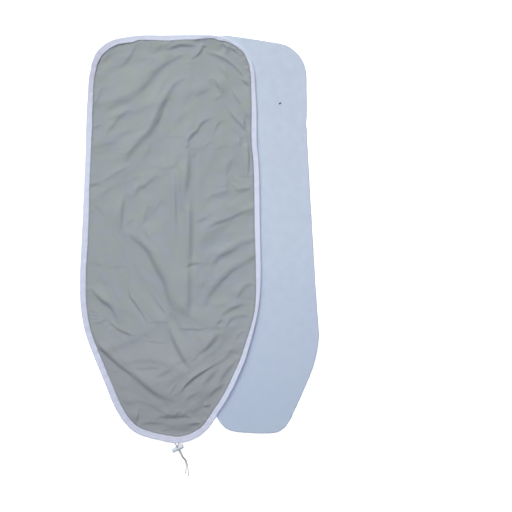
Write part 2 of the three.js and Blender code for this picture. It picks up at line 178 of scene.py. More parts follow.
put_lamp("softbox", SOFTBOX_SIZE, SOFTBOX_AT, SOFTBOX_AIM, SOFTBOX_WATTS, SOFTBOX_TINT, np.pi)
put_lamp("overhead", OVERHEAD_SIZE, OVERHEAD_AT, OVERHEAD_AIM, OVERHEAD_WATTS, OVERHEAD_TINT, OVERHEAD_SPREAD)

# Underlay: one loose sheet of needled polyester felt, die-cut to the board's outline and pale blue
# right through. Its cut edge is soft and a little fuzzy, and it lies flat with a slight wave.
CORD_EXIT = (-63.2, -587.6)
HULL_EASE = 12
FELT_EDGE_STEPS = 9
FELT_ACROSS = 90
FELT_ALONG = 260
FELT_STEP = 3
FELT_WANDER_EASE = 8
FELT_CORNERS = [(289, -520), (310, 500), (52, 560), (68, -520)]
FELT_WAVE = 0.35
FELT_WAVE_LENGTHS = (160, 230, 310, 90)
FELT_WAVE_SEED = 8
FELT_WAVE_RUN = 30
FELT_RAGGED = 0.5
FELT_RAGGED_LENGTHS = (11, 17, 23, 41)
FELT_RAGGED_SEED = 5
FELT_BLUE = "#CDDAEC"
FELT_SHADE = "#C6D3E7"
# Painted shade: the felt's colour towards the nose, darker and bluer where the light falls off, the span of Y
# in metres over which it comes in, and its share.
FELT_NOSE_PAINTED_SHADE = "#BCCCE3"
FELT_PAINTED_SHADE_SPAN = (0.0, -0.46)
FELT_PAINTED_SHADE_SHARE = 0.6
FELT_FIBRE_MM = 2.2
FELT_CLUMP_MM = 26
FLECK_AT = (236, 395, 0)
FLECK_SIZE = (4.6, 2.6, 20)
FLECK_TURN = 0.5
FLECK_COLOUR = "#3C4048"

# Where the cut leaves the fair curve, in mm: distance round the rim from the point nearest the cord's exit,
# and distance outward.
FELT_WANDER = [
    (0, -2), (25, -1.5), (65, -1.4), (100, -2.4), (135, 0), (170, 3), (187, 3.5), (203, 1.5), (226, -2),
    (265, -1.5), (304, 0.5), (380, 2), (452, 2.4), (487, 2.9), (539, 1.3), (643, -0.9), (800, -1.5),
    (904, -2.8), (1061, -3.2), (1092, -2.2), (1104, -5), (1111, -5), (1124, -1), (1166, 1.3), (1253, 4),
    (1270, 3), (1322, 0.4), (1400, 0), (2690, 0),
]


def node_points(name):
    """Corner points of a CAD node in millimetres."""
    return 1000 * np.array([v.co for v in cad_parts[name].data.vertices])


def smooth_path(points, step, fine=24):
    """Cubic curve through the points, in fine parts from each to the next, read off at equal steps of length.
    Each point's slope is the mean of its two chords, each weighted by the length of the other."""
    points = np.asarray(points, float)
    points = np.vstack([2 * points[0] - points[1], points, 2 * points[-1] - points[-2]])
    chord = np.diff(points, axis=0)
    long = np.linalg.norm(chord, axis=1)[:, None]
    rate = chord / long
    slope = (rate[:-1] * long[1:] + rate[1:] * long[:-1]) / (long[1:] + long[:-1])
    t = np.linspace(0, 1, fine, endpoint=False)[None, :, None]
    p, q, h = points[1:-2, None], points[2:-1, None], long[1:-1, None]
    a, b = slope[:-1, None] * h, slope[1:, None] * h
    ease = 3 * t**2 - 2 * t**3
    curve = (1 - ease) * p + ease * q + t * (1 - t) ** 2 * a - t**2 * (1 - t) * b
    curve = np.vstack([curve.reshape(-1, points.shape[1]), points[-2]])
    run = np.r_[0, np.cumsum(np.linalg.norm(np.diff(curve, axis=0), axis=1))]
    at = np.linspace(0, run[-1], max(2, round(run[-1] / step)) + 1)
    return np.stack([np.interp(at, run, curve[:, k]) for k in range(curve.shape[1])], 1)


def bell_average(values, half):
    """Values round a closed loop, each averaged with its neighbours under a bell, half places each way."""
    bell = np.hanning(2 * half + 3)[1:-1]
    return np.convolve(np.r_[values[-half:], values, values[:half]], bell / bell.sum(), "valid")


def plan_outline(name, step):
    """The outline of a CAD node seen from above, anticlockwise from the point nearest the cord's exit:
    the hull of its corners, read off at equal steps and eased by a bell average."""
    flat = np.unique(node_points(name)[:, :2].round(2), axis=0)
    hull = flat[geometry.convex_hull_2d(flat.tolist())]
    middle = (hull.min(0) + hull.max(0)) / 2
    turn = np.arctan2(*(hull - middle).T[::-1])
    hull = hull[np.argsort(turn)]
    ring = np.vstack([hull, hull[:1]])
    run = np.r_[0, np.cumsum(np.linalg.norm(np.diff(ring, axis=0), axis=1))]
    at = np.linspace(0, run[-1], round(run[-1] / step), endpoint=False)
    half = round(HULL_EASE / step)
    even = np.stack([bell_average(np.interp(at, run, ring[:, k]), half) for k in (0, 1)], 1)
    return np.roll(even, -np.linalg.norm(even - CORD_EXIT, axis=1).argmin(), 0)


def round_loop(outline, pairs, reach):
    """Values given at a few distances round an outline, joined by straight lines and eased by a bell
    average of that reach."""
    step = np.linalg.norm(outline[1] - outline[0])
    value = np.interp(step * np.arange(len(outline)), *np.array(pairs, float).T, period=step * len(outline))
    return bell_average(value, round(reach / step))


def outward(outline):
    """Unit normals of a closed anticlockwise outline in plan, square to the chord between neighbours."""
    along = np.roll(outline, -1, 0) - np.roll(outline, 1, 0)
    along /= np.linalg.norm(along, axis=1)[:, None]
    return np.stack([along[:, 1], -along[:, 0]], 1)


def depth_inside(points, outline, block_size=20000):
    """How far points lie inside a convex outline: the least distance in from the lines along its edge."""
    normal = outward(outline)
    offset = (normal * outline).sum(1)
    blocks = np.array_split(points, max(1, len(points) // block_size))
    return np.concatenate([(offset - block @ normal.T).min(1) for block in blocks])


def patch(outline, corners, across, along):
    """Coons patch in plan: the four stretches of edge between the corners, nose right first and
    anticlockwise, blended straight across both ways, less the blend of the corners themselves."""
    at = [np.argmin(np.linalg.norm(outline - corner, axis=1)) for corner in corners]
    ring = np.roll(outline, -at[0], 0)
    ends = [(i - at[0]) % len(ring) for i in at] + [len(ring)]
    ring = np.vstack([ring, ring[:1]])

    def stretch(k, count):
        piece = ring[ends[k] : ends[k + 1] + 1]
        place = np.linspace(0, len(piece) - 1, count)
        return np.stack([np.interp(place, np.arange(len(piece)), piece[:, i]) for i in (0, 1)], 1)

    right, back = stretch(0, along), stretch(1, across)[::-1]
    left, nose = stretch(2, along)[::-1], stretch(3, across)
    u = np.linspace(0, 1, across)[None, :, None]
    v = np.linspace(0, 1, along)[:, None, None]
    ruled = (1 - v) * nose[None] + v * back[None] + (1 - u) * left[:, None] + u * right[:, None]
    return ruled - (1 - v) * ((1 - u) * nose[0] + u * nose[-1]) - v * ((1 - u) * back[0] + u * back[-1])


def grid_faces(rows, columns, wrap_rows=False, wrap_columns=False):
    """Quads of a grid of points, row by row, joined round where it wraps."""
    r = np.arange(rows if wrap_rows else rows - 1)[:, None]
    c = np.arange(columns if wrap_columns else columns - 1)[None]
    r2, c2 = (r + 1) % rows, (c + 1) % columns
    quads = [r * columns + c, r * columns + c2, r2 * columns + c2, r2 * columns + c]
    return np.stack(quads, -1).reshape(-1, 4)


def rim(rows, columns):
    """Corner numbers round the border of a grid of points, anticlockwise from its first corner."""
    number = np.arange(rows * columns).reshape(rows, columns)
    return np.concatenate([number[0, :-1], number[:-1, -1], number[-1, :0:-1], number[:0:-1, 0]])


def waves(x, y, seed, lengths):
    """Mean of one plane wave per length, each with its own heading and phase."""
    draw = np.random.default_rng(seed)
    total = np.zeros_like(x)
    for length in lengths:
        heading = np.pi * draw.uniform(-1, 1)
        phase = 2 * np.pi * draw.uniform()
        total += np.cos(2 * np.pi * (x * np.cos(heading) + y * np.sin(heading)) / length + phase)
    return total / len(lengths)


def finish_material(made, values, links=None):
    """Gives a material its surface: one principled shader with these values and links."""
    skin = add(made.node_tree, "BsdfPrincipled", values, links)
    add(made.node_tree, "OutputMaterial", None, {"Surface": skin.outputs[0]})
    return made


def blend(tree, share, low, high):
    """Mixes two colours, each a hex code or another node's colour, by the share that a socket gives."""
    ends = {"A": low, "B": high}
    codes = {name: linear(end) for name, end in ends.items() if isinstance(end, str)}
    fed = {name: end for name, end in ends.items() if name not in codes}
    return add(tree, "Mix", codes, {"Factor": share, **fed}, data_type="RGBA").outputs["Result"]


def felt():
    """Needled felt: matted fibres scatter light softly with no gloss, clumped a little lighter and darker.
    Towards the nose it is painted darker and bluer, as shade where the light falls off."""
    made, tree = start_material("needled_polyester_felt")
    place = add(tree, "TexCoord").outputs["Object"]
    fibre = add(tree, "TexNoise", {"Scale": 1000 / FELT_FIBRE_MM, "Detail": 4, "Roughness": 0.7},
                {"Vector": place}).outputs["Fac"]
    clump = add(tree, "TexNoise", {"Scale": 1000 / FELT_CLUMP_MM, "Detail": 5, "Roughness": 0.55},
                {"Vector": place}).outputs["Fac"]
    both = add(tree, "Mix", {"Factor": 0.35}, {"A": clump, "B": fibre})
    cloud = add(tree, "MapRange", {"From Min": 0.36, "From Max": 0.64}, {"Value": both.outputs[0]})
    along = add(tree, "SeparateXYZ", None, {"Vector": place})
    # Painted shade: darker and bluer towards the nose.
    cast = add(tree, "MapRange",
               {"From Min": FELT_PAINTED_SHADE_SPAN[0], "From Max": FELT_PAINTED_SHADE_SPAN[1], "To Max": FELT_PAINTED_SHADE_SHARE},
               {"Value": along.outputs["Y"]})
    blue = blend(tree, cast.outputs[0], blend(tree, cloud.outputs[0], FELT_SHADE, FELT_BLUE), FELT_NOSE_PAINTED_SHADE)
    spot = add(tree, "Mapping", {"Location": [v / 1000 for v in FLECK_AT], "Rotation": (0, 0, FLECK_TURN),
                                 "Scale": [v / 1000 for v in FLECK_SIZE]},
               {"Vector": place}, vector_type="TEXTURE")
    reach = add(tree, "VectorMath", None, {0: spot.outputs[0]}, operation="LENGTH")
    ragged = add(tree, "Math", None, {0: reach.outputs["Value"], 1: fibre}, operation="ADD")
    fleck = add(tree, "MapRange", {"From Min": 1.55, "From Max": 1.25}, {"Value": ragged.outputs[0]})
    nap = add(tree, "Bump", {"Strength": 0.35, "Distance": 0.0006}, {"Height": fibre})
    return finish_material(
        made, {"Roughness": 0.95, "Specular IOR Level": 0.15, "Sheen Weight": 0.25, "Sheen Roughness": 0.6},
        {"Base Color": blend(tree, fleck.outputs[0], blue, FLECK_COLOUR), "Normal": nap.outputs[0]})


felt_top = 1000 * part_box("felt_pad")[1][2]
felt_outline = plan_outline("felt_pad", FELT_STEP)
felt_wander = round_loop(felt_outline, FELT_WANDER, FELT_WANDER_EASE) - felt_top / 2
felt_cut = felt_outline + outward(felt_outline) * felt_wander[:, None]
felt_plan = patch(felt_cut, FELT_CORNERS, FELT_ACROSS, FELT_ALONG)
felt_rim = rim(FELT_ALONG, FELT_ACROSS)
felt_plan_rim = felt_plan.reshape(-1, 2)[felt_rim]
bulge = np.linspace(np.pi / 2, -np.pi / 2, FELT_EDGE_STEPS)[1:-1, None]
ragged_edge = FELT_RAGGED * waves(*felt_plan_rim.T, FELT_RAGGED_SEED, FELT_RAGGED_LENGTHS)
felt_out = felt_top / 2 * np.cos(bulge) + ragged_edge * np.cos(bulge)
felt_wall = np.concatenate([
    felt_plan_rim[None] + felt_out[..., None] * outward(felt_plan_rim)[None],
    np.broadcast_to(felt_top / 2 * (1 + np.sin(bulge)), felt_out.shape)[..., None]], -1)
felt_x, felt_y = felt_plan.reshape(-1, 2).T
felt_lift = FELT_WAVE * waves(felt_x, felt_y, FELT_WAVE_SEED, FELT_WAVE_LENGTHS)
felt_inside = np.clip(depth_inside(felt_plan.reshape(-1, 2), felt_outline) / FELT_WAVE_RUN, 0, 1)
felt_upper = np.stack([felt_x, felt_y, felt_top + (felt_lift - FELT_WAVE) * felt_inside], 1)
felt_lower = np.stack([felt_x, felt_y, np.zeros_like(felt_x)], 1)
count = len(felt_upper)
walls = len(felt_rim)
felt_loops = np.vstack([felt_rim[None], 2 * count + np.arange(felt_wall.shape[0] * walls).reshape(-1, walls),
                        count + felt_rim[None]])
felt_quads = felt_loops.reshape(-1)[grid_faces(len(felt_loops), walls, wrap_columns=True)[:, ::-1]]
felt_flat = grid_faces(FELT_ALONG, FELT_ACROSS)
felt_pad = put_mesh("felt_underlay", np.vstack([felt_upper, felt_lower, felt_wall.reshape(-1, 3)]),
                    np.vstack([felt_flat, count + felt_flat[:, ::-1], felt_quads]).tolist(), felt())
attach(felt_pad, "underlay")
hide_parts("felt_pad")

# Cover cloth: one panel of cotton with a thin grey heat-reflecting coat, laid over the underlay.
# It was folded in a packet, so it has pressed lines, long soft folds drawn by the cord, and puckers
# at its sewn edge.
CLOTH_ACROSS = 215
CLOTH_ALONG = 455
CLOTH_INSET = 4.7
CLOTH_REST = 2.6
CLOTH_LIFT = 5.3
CLOTH_CLEAR = 0.5
CLOTH_CORNERS = [(48, -514), (120, 545), (-295, 545), (-205, -542)]
STATION_PITCH = 2.4
FELT_EDGE_ROUND = 3
DRAPE_RUN = 30
DRAPE_SLACK = 2.2
TAUT_AT = (60, 170)
CASING_DRAPE = (15, 95)
EDGE_BLEND = (14, 48)
NOSE_RISE = 4.4
NOSE_RISE_RUN = 130
LIGHT_WAY = (-0.35, 0.94)
FOLD_LIT = 2.2
FOLD_FAR = 4.5
FOLD_REACH = 36
FOLD_LEE = 1.4
FOLD_SCATTER = 0.38
FOLD_BEND = 0.22
FOLD_FADE = (10, 26)
WAY_BLUR = 900
CREASE_STEP = 8
CREASE_TURN = 0.5
CREASE_END = 0.5
CREASE_SOFT = 4
PUCKER_LENGTHS = (9, 12, 15, 19, 26)
PUCKER_SEED = 3
PUCKER_HEIGHT = 0.30
PUCKER_MEAN = 15
PUCKER_SLANT = 0.5
PUCKER_GROUP = 11
PUCKER_RISE = (6, 13)
PUCKER_FULL = 12
PUCKER_RUN = 15
SEAM_DIP = 0.5
SEAM_DIP_RISE = (4, 9)
SEAM_DIP_FULL = 2
SEAM_DIP_RUN = 14
FELT_EDGE_RIDGES = [(2.6, 7, 8), (-1.8, -11, 7), (-1.7, 35, 4)]
BUNCH_AT = (-75, -400)
BUNCH_REACH = (150, 120)
BUNCH_HEIGHT = 8
FOLD_ROOM = 3.5
FOLD_ROOM_RUN = (5, 170)
REST_SOFT = 1.2
COAT_GREEN = "#9DA5A5"
COAT_BLUE = "#9CA4AC"
# Painted shade: a darker, more violet grey towards the nose, and the span of Y in metres over which it comes
# in.
COAT_NOSE_PAINTED_SHADE = "#9DA2A7"
NOSE_PAINTED_SHADE_SPAN = (-0.18, -0.46)
# Painted shade in the seam's hollow: its grey and how far in from the tape it reaches, in mm.
SEAM_PAINTED_SHADE = "#868E92"
SEAM_SPREAD = 3.5
THREAD_MM = 1.3
MOTTLE_MM = 45

# Tables round the edge start at the cord's exit and run anticlockwise, in mm.
# Where the sewn edge leaves the fair curve: distance round the edge and distance outward.
EDGE_WANDER_EASE = 22
EDGE_WANDER = [
    (0, 3), (36, 3), (52, 4), (71, 3), (94, 1), (122, -4), (163, -8), (206, -2), (245, 2), (321, 5), (393, 0),
    (570, -2), (727, 0), (860, 3), (920, 2), (953, -1), (1058, 2), (1145, 0), (1228, 2), (1266, 0), (1342, 4),
    (1429, 0), (1481, -2), (1533, 2), (1600, -1), (1640, 2.5), (1681, 4), (1702, 3), (1738, -1), (1774, 1),
    (1869, 2), (1983, -1), (2193, -3), (2349, -3), (2419, 1), (2489, 4), (2562, 2), (2675, -1), (2751, -1),
    (2792, 3), (2810, 4), (2835, 5), (2860, 0), (2895, -5), (2922, -4), (2945, 0),
]

# How far the edge curls up off what it lies on: distance and height.
EDGE_LIFT_EASE = 40
EDGE_LIFT = [
    (0, 0), (150, 0), (230, 2.5), (330, 4), (480, 4), (620, 3.5), (760, 3), (900, 3), (1050, 2), (1150, 2),
    (1300, 3), (1600, 3), (1800, 1), (2100, 0), (2950, 0),
]

# How wide the binding shows on top, as it was sewn by eye: distance and width.
BINDING_WIDTH_EASE = 5
BINDING_WIDTHS = [
    (0, 18.7), (48, 17.4), (72, 17.6), (90, 16), (130, 16.8), (160, 15.8), (300, 15), (370, 13.5),
    (440, 10.7), (475, 10), (510, 11.5), (545, 13.6), (580, 15), (720, 16), (900, 15.4), (1000, 16),
    (1070, 14.5), (1140, 12), (1164, 12), (1200, 10.2), (1236, 7.2), (1284, 8), (1314, 12), (1322, 11.5),
    (1332, 9), (1344, 9.4), (1368, 11.5), (1392, 14.7), (1416, 14.5), (1452, 16.7), (1500, 15.8),
    (1536, 15), (1550, 13.8), (1562, 15.2), (1570, 19), (1608, 17.2), (1656, 19.3), (1691, 19),
    (1726, 16.2), (1796, 15.3), (1901, 17.7), (1971, 15.8), (2076, 15.6), (2146, 17.3), (2251, 18.5),
    (2321, 17.3), (2531, 16.5), (2636, 16.9), (2706, 18.3), (2808, 17.8), (2904, 17.1), (2928, 18.3),
]

# How strongly shade is painted into the seam's hollow: distance and share.
SEAM_SHADE_EASE = 20
SEAM_SHADES = [
    (0, 1.3), (90, 1.2), (160, 0.85), (300, 1), (560, 0.9), (660, 0.75), (800, 0.75), (870, 1.1),
    (1000, 1.1), (1085, 0.8), (1290, 0.95), (1430, 0.3), (1500, 0.6), (1640, 0.5), (1700, 1.1), (1800, 1),
    (1870, 0.7), (1950, 0.35), (2280, 0.4), (2340, 0.7), (2420, 0.45), (2480, 0.95), (2620, 0.65),
    (2720, 0.8), (2830, 1.45), (2945, 1.3),
]

# Which way the small folds run: places in mm and headings in degrees from the right.
FOLD_WAYS = [
    (-200, 450, 48), (-60, 400, 52), (100, 490, -45), (110, 340, -48), (30, 320, 50), (100, 60, 24),
    (100, -60, 30), (100, -190, 20), (-215, 80, 85), (-290, 320, 22), (-290, 160, 28), (-150, -50, -58),
    (-200, -150, -70), (-270, -180, -42), (-200, -380, -38), (-60, -260, -60), (60, -380, 40), (0, -440, 36),
    (-60, -520, 6), (-20, 100, 80),
]

# Small folds by kind: how many, and from the least to the most, their half widths and half lengths in mm
# and their steepness.
FOLD_KINDS = [
    (80, (8, 18), (60, 150), (0.11, 0.22)),
    (240, (3.2, 7.5), (22, 70), (0.06, 0.18)),
    (320, (2.2, 3.4), (9, 26), (0.06, 0.19)),
]

# Where the cloth lies free of small folds: the middle of each such place and its reach, in mm.
CALM_SPOTS = [(-30, -145, 42), (8, 545, 30), (-125, 545, 24), (-48, 110, 60), (-38, 25, 55)]

# Each crease: how steep its shaded side is, how far that side spreads towards the light and away from it,
# and the line it follows, in mm.
CREASES = [
    # from the back hem
    (0.35, 5, 9, [(-181, 568), (-190, 545), (-210, 516), (-234, 498)]),
    (0.27, 5, 6, [(-274, 490), (-257, 498), (-239, 507)]),
    (0.29, 7, 8, [(-135, 536), (-118, 551), (-103, 565)]),
    (0.40, 6, 7, [(-110, 496), (-88, 512), (-66, 524), (-50, 538)]),
    (0.67, 3.5, 4.5, [(-98, 549), (-77, 556), (-54, 563), (-25, 561), (-5, 560)]),
    (0.95, 4, 5, [(-19, 523), (-2, 534), (8, 546), (13, 557), (28, 561)]),
    (0.20, 25, 12, [(-65, 536), (-103, 504), (-135, 467), (-170, 429), (-210, 400), (-263, 377)]),
    (0.32, 13, 10, [(-88, 412), (-100, 382), (-109, 354), (-120, 334), (-132, 316)]),
    (0.40, 9, 26, [(-34, 467), (-60, 458), (-74, 443), (-92, 414), (-112, 377), (-132, 336), (-142, 308),
                   (-150, 290)]),
    (0.38, 9, 22, [(-130, 325), (-141, 313), (-161, 293), (-187, 266), (-205, 240), (-219, 214)]),
    (0.30, 5, 9, [(-184, 226), (-208, 210), (-236, 194), (-262, 178), (-290, 163)]),
    (0.45, 8, 12, [(-203, 377), (-228, 356), (-248, 330), (-269, 306)]),
    (0.28, 6, 9, [(-280, 441), (-289, 417), (-300, 391)]),
    (0.27, 4, 5, [(30, 536), (51, 527), (74, 513), (91, 501)]),
    (0.28, 4, 5, [(58, 508), (70, 488), (83, 469)]),
    (0.60, 3.5, 4, [(68, 568), (77, 559), (83, 549)]),
    (0.50, 3.5, 4.5, [(90, 558), (103, 549), (114, 538)]),
    (0.49, 4.5, 6, [(18, 542), (45, 536), (65, 528), (99, 505), (117, 487), (143, 452)]),
    (0.75, 4.5, 5, [(117, 469), (131, 456), (149, 443)]),
    (0.45, 5, 6, [(46, 467), (59, 440), (68, 421)]),
    (0.34, 4, 5, [(66, 420), (56, 409), (42, 402)]),
    (0.62, 4.5, 6, [(93, 441), (103, 419), (121, 389)]),
    (0.50, 5, 7, [(79, 391), (97, 359), (117, 337), (138, 313)]),
    (0.36, 9, 9, [(-10, 413), (14, 427), (36, 438)]),
    (0.65, 5, 7, [(33, 348), (8, 335), (-2, 316), (-22, 298), (-29, 287), (-29, 266)]),
    (0.43, 5, 6, [(46, 301), (51, 322), (62, 339), (82, 341), (97, 339)]),
    (0.29, 5, 6, [(97, 330), (108, 315), (117, 303)]),
    (0.29, 5, 5, [(-7, 261), (-10, 246), (-22, 237)]),
    (0.29, 5, 5, [(10, 266), (30, 278), (36, 287)]),
    (0.45, 3.5, 4.5, [(118, 186), (134, 183), (154, 182)]),
    (0.29, 6, 9, [(78, 198), (86, 218), (96, 231)]),
    (0.22, 4, 5, [(86, 175), (98, 158), (112, 143), (136, 142)]),
    (0.62, 4, 5, [(131, 358), (134, 338), (137, 316)]),
    (0.45, 5, 6, [(119, 294), (122, 282), (125, 270)]),
    (0.56, 6, 6, [(143, 300), (146, 262), (147, 235), (146, 210), (143, 188)]),
    (0.38, 6, 7, [(78, 186), (90, 206), (98, 224)]),
    (0.34, 3.5, 4, [(112, 146), (124, 149), (138, 146), (152, 152)]),
    (0.34, 3.5, 4, [(100, 186), (104, 172), (118, 164)]),
    (0.46, 14, 12, [(-27, 262), (-28, 217), (-31, 174), (-35, 139), (-36, 110), (-36, 84)]),
    (0.36, 4, 5, [(-67, 246), (-67, 190), (-67, 140), (-66, 80), (-66, 10)]),
    (0.18, 13, 16, [(-34, 118), (-26, 84), (-22, 50), (-22, 0), (-23, -40), (-28, -80)]),
    # left half
    (0.67, 4, 4.5, [(-312, 322), (-295, 327), (-283, 336)]),
    (0.67, 4, 4.5, [(-321, 153), (-303, 159), (-289, 165)]),
    (0.45, 5, 7, [(-167, 160), (-175, 148), (-180, 136)]),
    (0.42, 9, 10, [(-118, 188), (-147, 163), (-168, 143), (-190, 122)]),
    (0.52, 9, 10, [(-219, 130), (-219, 101), (-222, 58), (-222, 29)]),
    (0.31, 6, 8, [(-190, 64), (-208, 44), (-219, 30)]),
    (0.24, 7, 9, [(-150, 95), (-152, 72), (-161, 40)]),
    (0.22, 6, 7, [(-103, 119), (-118, 98), (-121, 81)]),
    (0.22, 5, 6, [(-306, 107), (-290, 90), (-275, 72), (-266, 60)]),
    (0.36, 17, 18, [(-202, 18), (-178, -6), (-147, -38), (-124, -80), (-100, -122), (-89, -158), (-80, -183),
                    (-72, -205)]),
    (0.41, 10, 9, [(-312, -140), (-295, -163), (-277, -180), (-257, -195), (-242, -221), (-234, -244)]),
    (0.45, 4, 4, [(-248, -244), (-234, -258), (-216, -267), (-184, -279)]),
    (0.37, 9, 9, [(-300, -288), (-277, -321), (-251, -347), (-222, -370), (-190, -394)]),
    (0.30, 12, 12, [(-222, -370), (-187, -396), (-152, -424), (-121, -446), (-86, -461), (-64, -470)]),
    (0.50, 3, 3.6, [(-320, -203), (-305, -208), (-290, -213)]),
    (0.50, 3, 3.6, [(-318, -216), (-303, -219), (-287, -220)]),
    (0.50, 3, 3.6, [(-314, -229), (-300, -230), (-288, -229)]),
    (0.50, 3, 3.5, [(-278, -242), (-276, -236), (-274, -228)]),
    (0.60, 3, 3.5, [(-257, -239), (-250, -245), (-246, -253)]),
    (0.22, 12, 9, [(-297, -306), (-280, -324), (-258, -344)]),
    (0.40, 4, 4.5, [(-262, -377), (-245, -384), (-228, -380)]),
    # right half
    (0.28, 9, 20, [(19, 92), (22, 110), (33, 121), (50, 130), (75, 136), (110, 141), (140, 145), (160, 150)]),
    (0.46, 6.5, 8, [(190, 99), (163, 91), (136, 81), (102, 66), (75, 55), (44, 45), (20, 30)]),
    (0.43, 5, 5, [(27, 64), (4, 55), (-9, 50)]),
    (0.45, 17, 12, [(188, 10), (158, -5), (117, -18), (88, -38), (59, -53), (47, -73), (33, -99)]),
    (0.18, 6, 7, [(19, -93), (16, -128)]),
    (0.56, 18, 15, [(190, -40), (161, -54), (132, -73), (97, -93), (74, -116), (47, -145), (27, -171),
                    (19, -200)]),
    (0.48, 10, 10, [(158, -125), (132, -140), (120, -157), (108, -171)]),
    (0.22, 9, 12, [(-28, -70), (-27, -131), (-27, -189), (-27, -222)]),
    (0.48, 4.5, 5, [(-39, -87), (-25, -73), (7, -68)]),
    (0.60, 8, 7, [(146, -186), (106, -196), (82, -209), (65, -221)]),
    (0.50, 3.5, 4, [(69, -229), (53, -244)]),
    (0.50, 7, 7, [(149, -221), (106, -226), (91, -235), (82, -250)]),
    (0.45, 4, 4, [(-60, -258), (-25, -258), (10, -259), (27, -252)]),
    (0.56, 12, 9, [(62, -270), (45, -290), (22, -316), (1, -328)]),
    (0.29, 4, 4, [(1, -328), (-10, -343), (-25, -357)]),
    (0.38, 6, 7, [(124, -262), (116, -280), (108, -292)]),
    # nose
    (0.42, 10, 11, [(-89, -240), (-78, -276), (-62, -312), (-44, -342), (-25, -372)]),
    (0.25, 4, 5, [(112, -322), (82, -340), (55, -357), (32, -369)]),
    (1.55, 3.4, 3.4, [(45, -363), (16, -380), (-10, -397), (-34, -418), (-51, -441)]),
    (0.34, 6, 6, [(109, -308), (91, -325), (77, -337)]),
    (0.46, 9, 9, [(112, -347), (85, -377), (68, -401), (58, -418)]),
    (0.32, 8, 8, [(62, -372), (40, -392), (22, -410), (10, -424)]),
    (0.31, 6, 7, [(74, -416), (39, -445), (20, -466)]),
    (0.30, 6, 7, [(-2, -437), (-14, -448), (-28, -458), (-37, -464)]),
    (0.47, 5, 5, [(36, -478), (19, -480), (13, -476)]),
    (0.28, 5, 5, [(-181, -374), (-155, -372), (-132, -370), (-112, -371)]),
    (0.29, 8, 8, [(-118, -398), (-94, -383), (-77, -377)]),
    (0.38, 3.5, 4, [(-83, -447), (-70, -428), (-62, -416)]),
    (0.56, 7, 4, [(-118, -513), (-92, -515), (-70, -513), (-52, -512), (-38, -511), (-18, -516)]),
    (0.34, 4, 5, [(-94, -513), (-86, -504), (-82, -492)]),
    (0.40, 4, 5, [(-72, -513), (-60, -502), (-54, -495)]),
    (0.29, 4, 5, [(-46, -511), (-36, -500), (-22, -488)]),
    (0.22, 8, 9, [(-24, -500), (-6, -490), (4, -472)]),
    (0.47, 4, 5, [(-173, -540), (-147, -531), (-115, -532), (-97, -531)]),
    (0.78, 3.5, 4.5, [(-31, -534), (-7, -532), (10, -530)]),
    (0.56, 3, 3.5, [(-2, -545), (10, -540)]),
    (0.43, 4, 5, [(-112, -554), (-89, -551), (-71, -545)]),
    (0.45, 4, 5, [(-176, -490), (-176, -514), (-184, -534)]),
    # pressed lines left by the packet
    (0.75, 2.6, 3, [(-238, 26), (-225, -6), (-213, -44), (-206, -76)]),
    (0.29, 2.6, 3, [(-268, -83), (-231, -79), (-206, -76)]),
    (0.22, 2.6, 3, [(-199, -76), (-164, -73)]),
    (0.64, 2.8, 3.4, [(-204, -100), (-202, -134), (-199, -160), (-182, -186), (-164, -212), (-147, -241)]),
    (0.34, 2.6, 3, [(-150, -241), (-126, -238), (-103, -238), (-74, -241)]),
    (0.68, 2.8, 3.2, [(-138, -152), (-112, -192), (-92, -218)]),
    (0.60, 2.8, 3.2, [(-312, -243), (-295, -241), (-278, -240)]),
    (0.36, 2.6, 3, [(-155, -293), (-126, -296), (-92, -299)]),
    (0.25, 2.6, 3, [(-306, 278), (-280, 284), (-260, 290)]),
    (0.25, 2.6, 3, [(-54, 510), (-25, 510), (10, 516)]),
    (0.25, 2.6, 3, [(74, 449), (97, 449), (114, 452)]),
]


def smooth_step(value, low, high):
    """0 up to low and 1 from high, on the curve 3t squared less 2t cubed between them."""
    t = np.clip((value - low) / (high - low), 0, 1)
    return t * t * (3 - 2 * t)


def casing_height(plan):
    """Height of the middle of the casing: raised over the underlay, down beside it, and drawn up
    at the cord's exit."""
    outside = -depth_inside(plan, felt_outline)
    from_exit = np.linalg.norm(plan - CORD_EXIT, axis=1)
    return (CLOTH_REST + CLOTH_LIFT * (1 - smooth_step(outside, *CASING_DRAPE))
            + NOSE_RISE * (1 - smooth_step(from_exit, 0, NOSE_RISE_RUN)))


def beside_edge(plan, outline, block_size=8000):
    """How far points lie in from an outline and how far along it, by the nearest of its points
    and its normal there."""
    normal = outward(outline)
    inset, run = [], []
    for block in np.array_split(plan, max(1, len(plan) // block_size)):
        near = ((block[:, None] - outline[None]) ** 2).sum(-1).argmin(1)
        off = block - outline[near]
        inset.append(-(off * normal[near]).sum(1))
        run.append(edge_step * near + off[:, 1] * normal[near, 0] - off[:, 0] * normal[near, 1])
    return np.concatenate(inset), np.concatenate(run)


def fold_profile(distance, near, far, steepness):
    """Height across a fold: a step down away from the light by a hyperbolic tangent of the distance,
    with a spread of its own on each side, that dies away by an exponential, sooner on the lit side."""
    spread = np.where(distance < 0, near, far)
    reach = np.minimum(spread * np.where(distance < 0, FOLD_LIT, FOLD_FAR), FOLD_REACH)
    return -spread * steepness * np.tanh(distance / spread) * np.exp(-np.abs(distance) / reach)


def away_from_light(along):
    """Plan normals of a fold's directions, all turned to the one side that is further from the light,
    and how squarely the fold lies to the light, as the mean cosine."""
    normal = np.stack([along[:, 1], -along[:, 0]], -1)
    normal = normal / np.linalg.norm(normal, axis=1)[:, None]
    facing = (normal @ np.array(LIGHT_WAY)).mean()
    return (-normal if facing > 0 else normal), abs(facing)


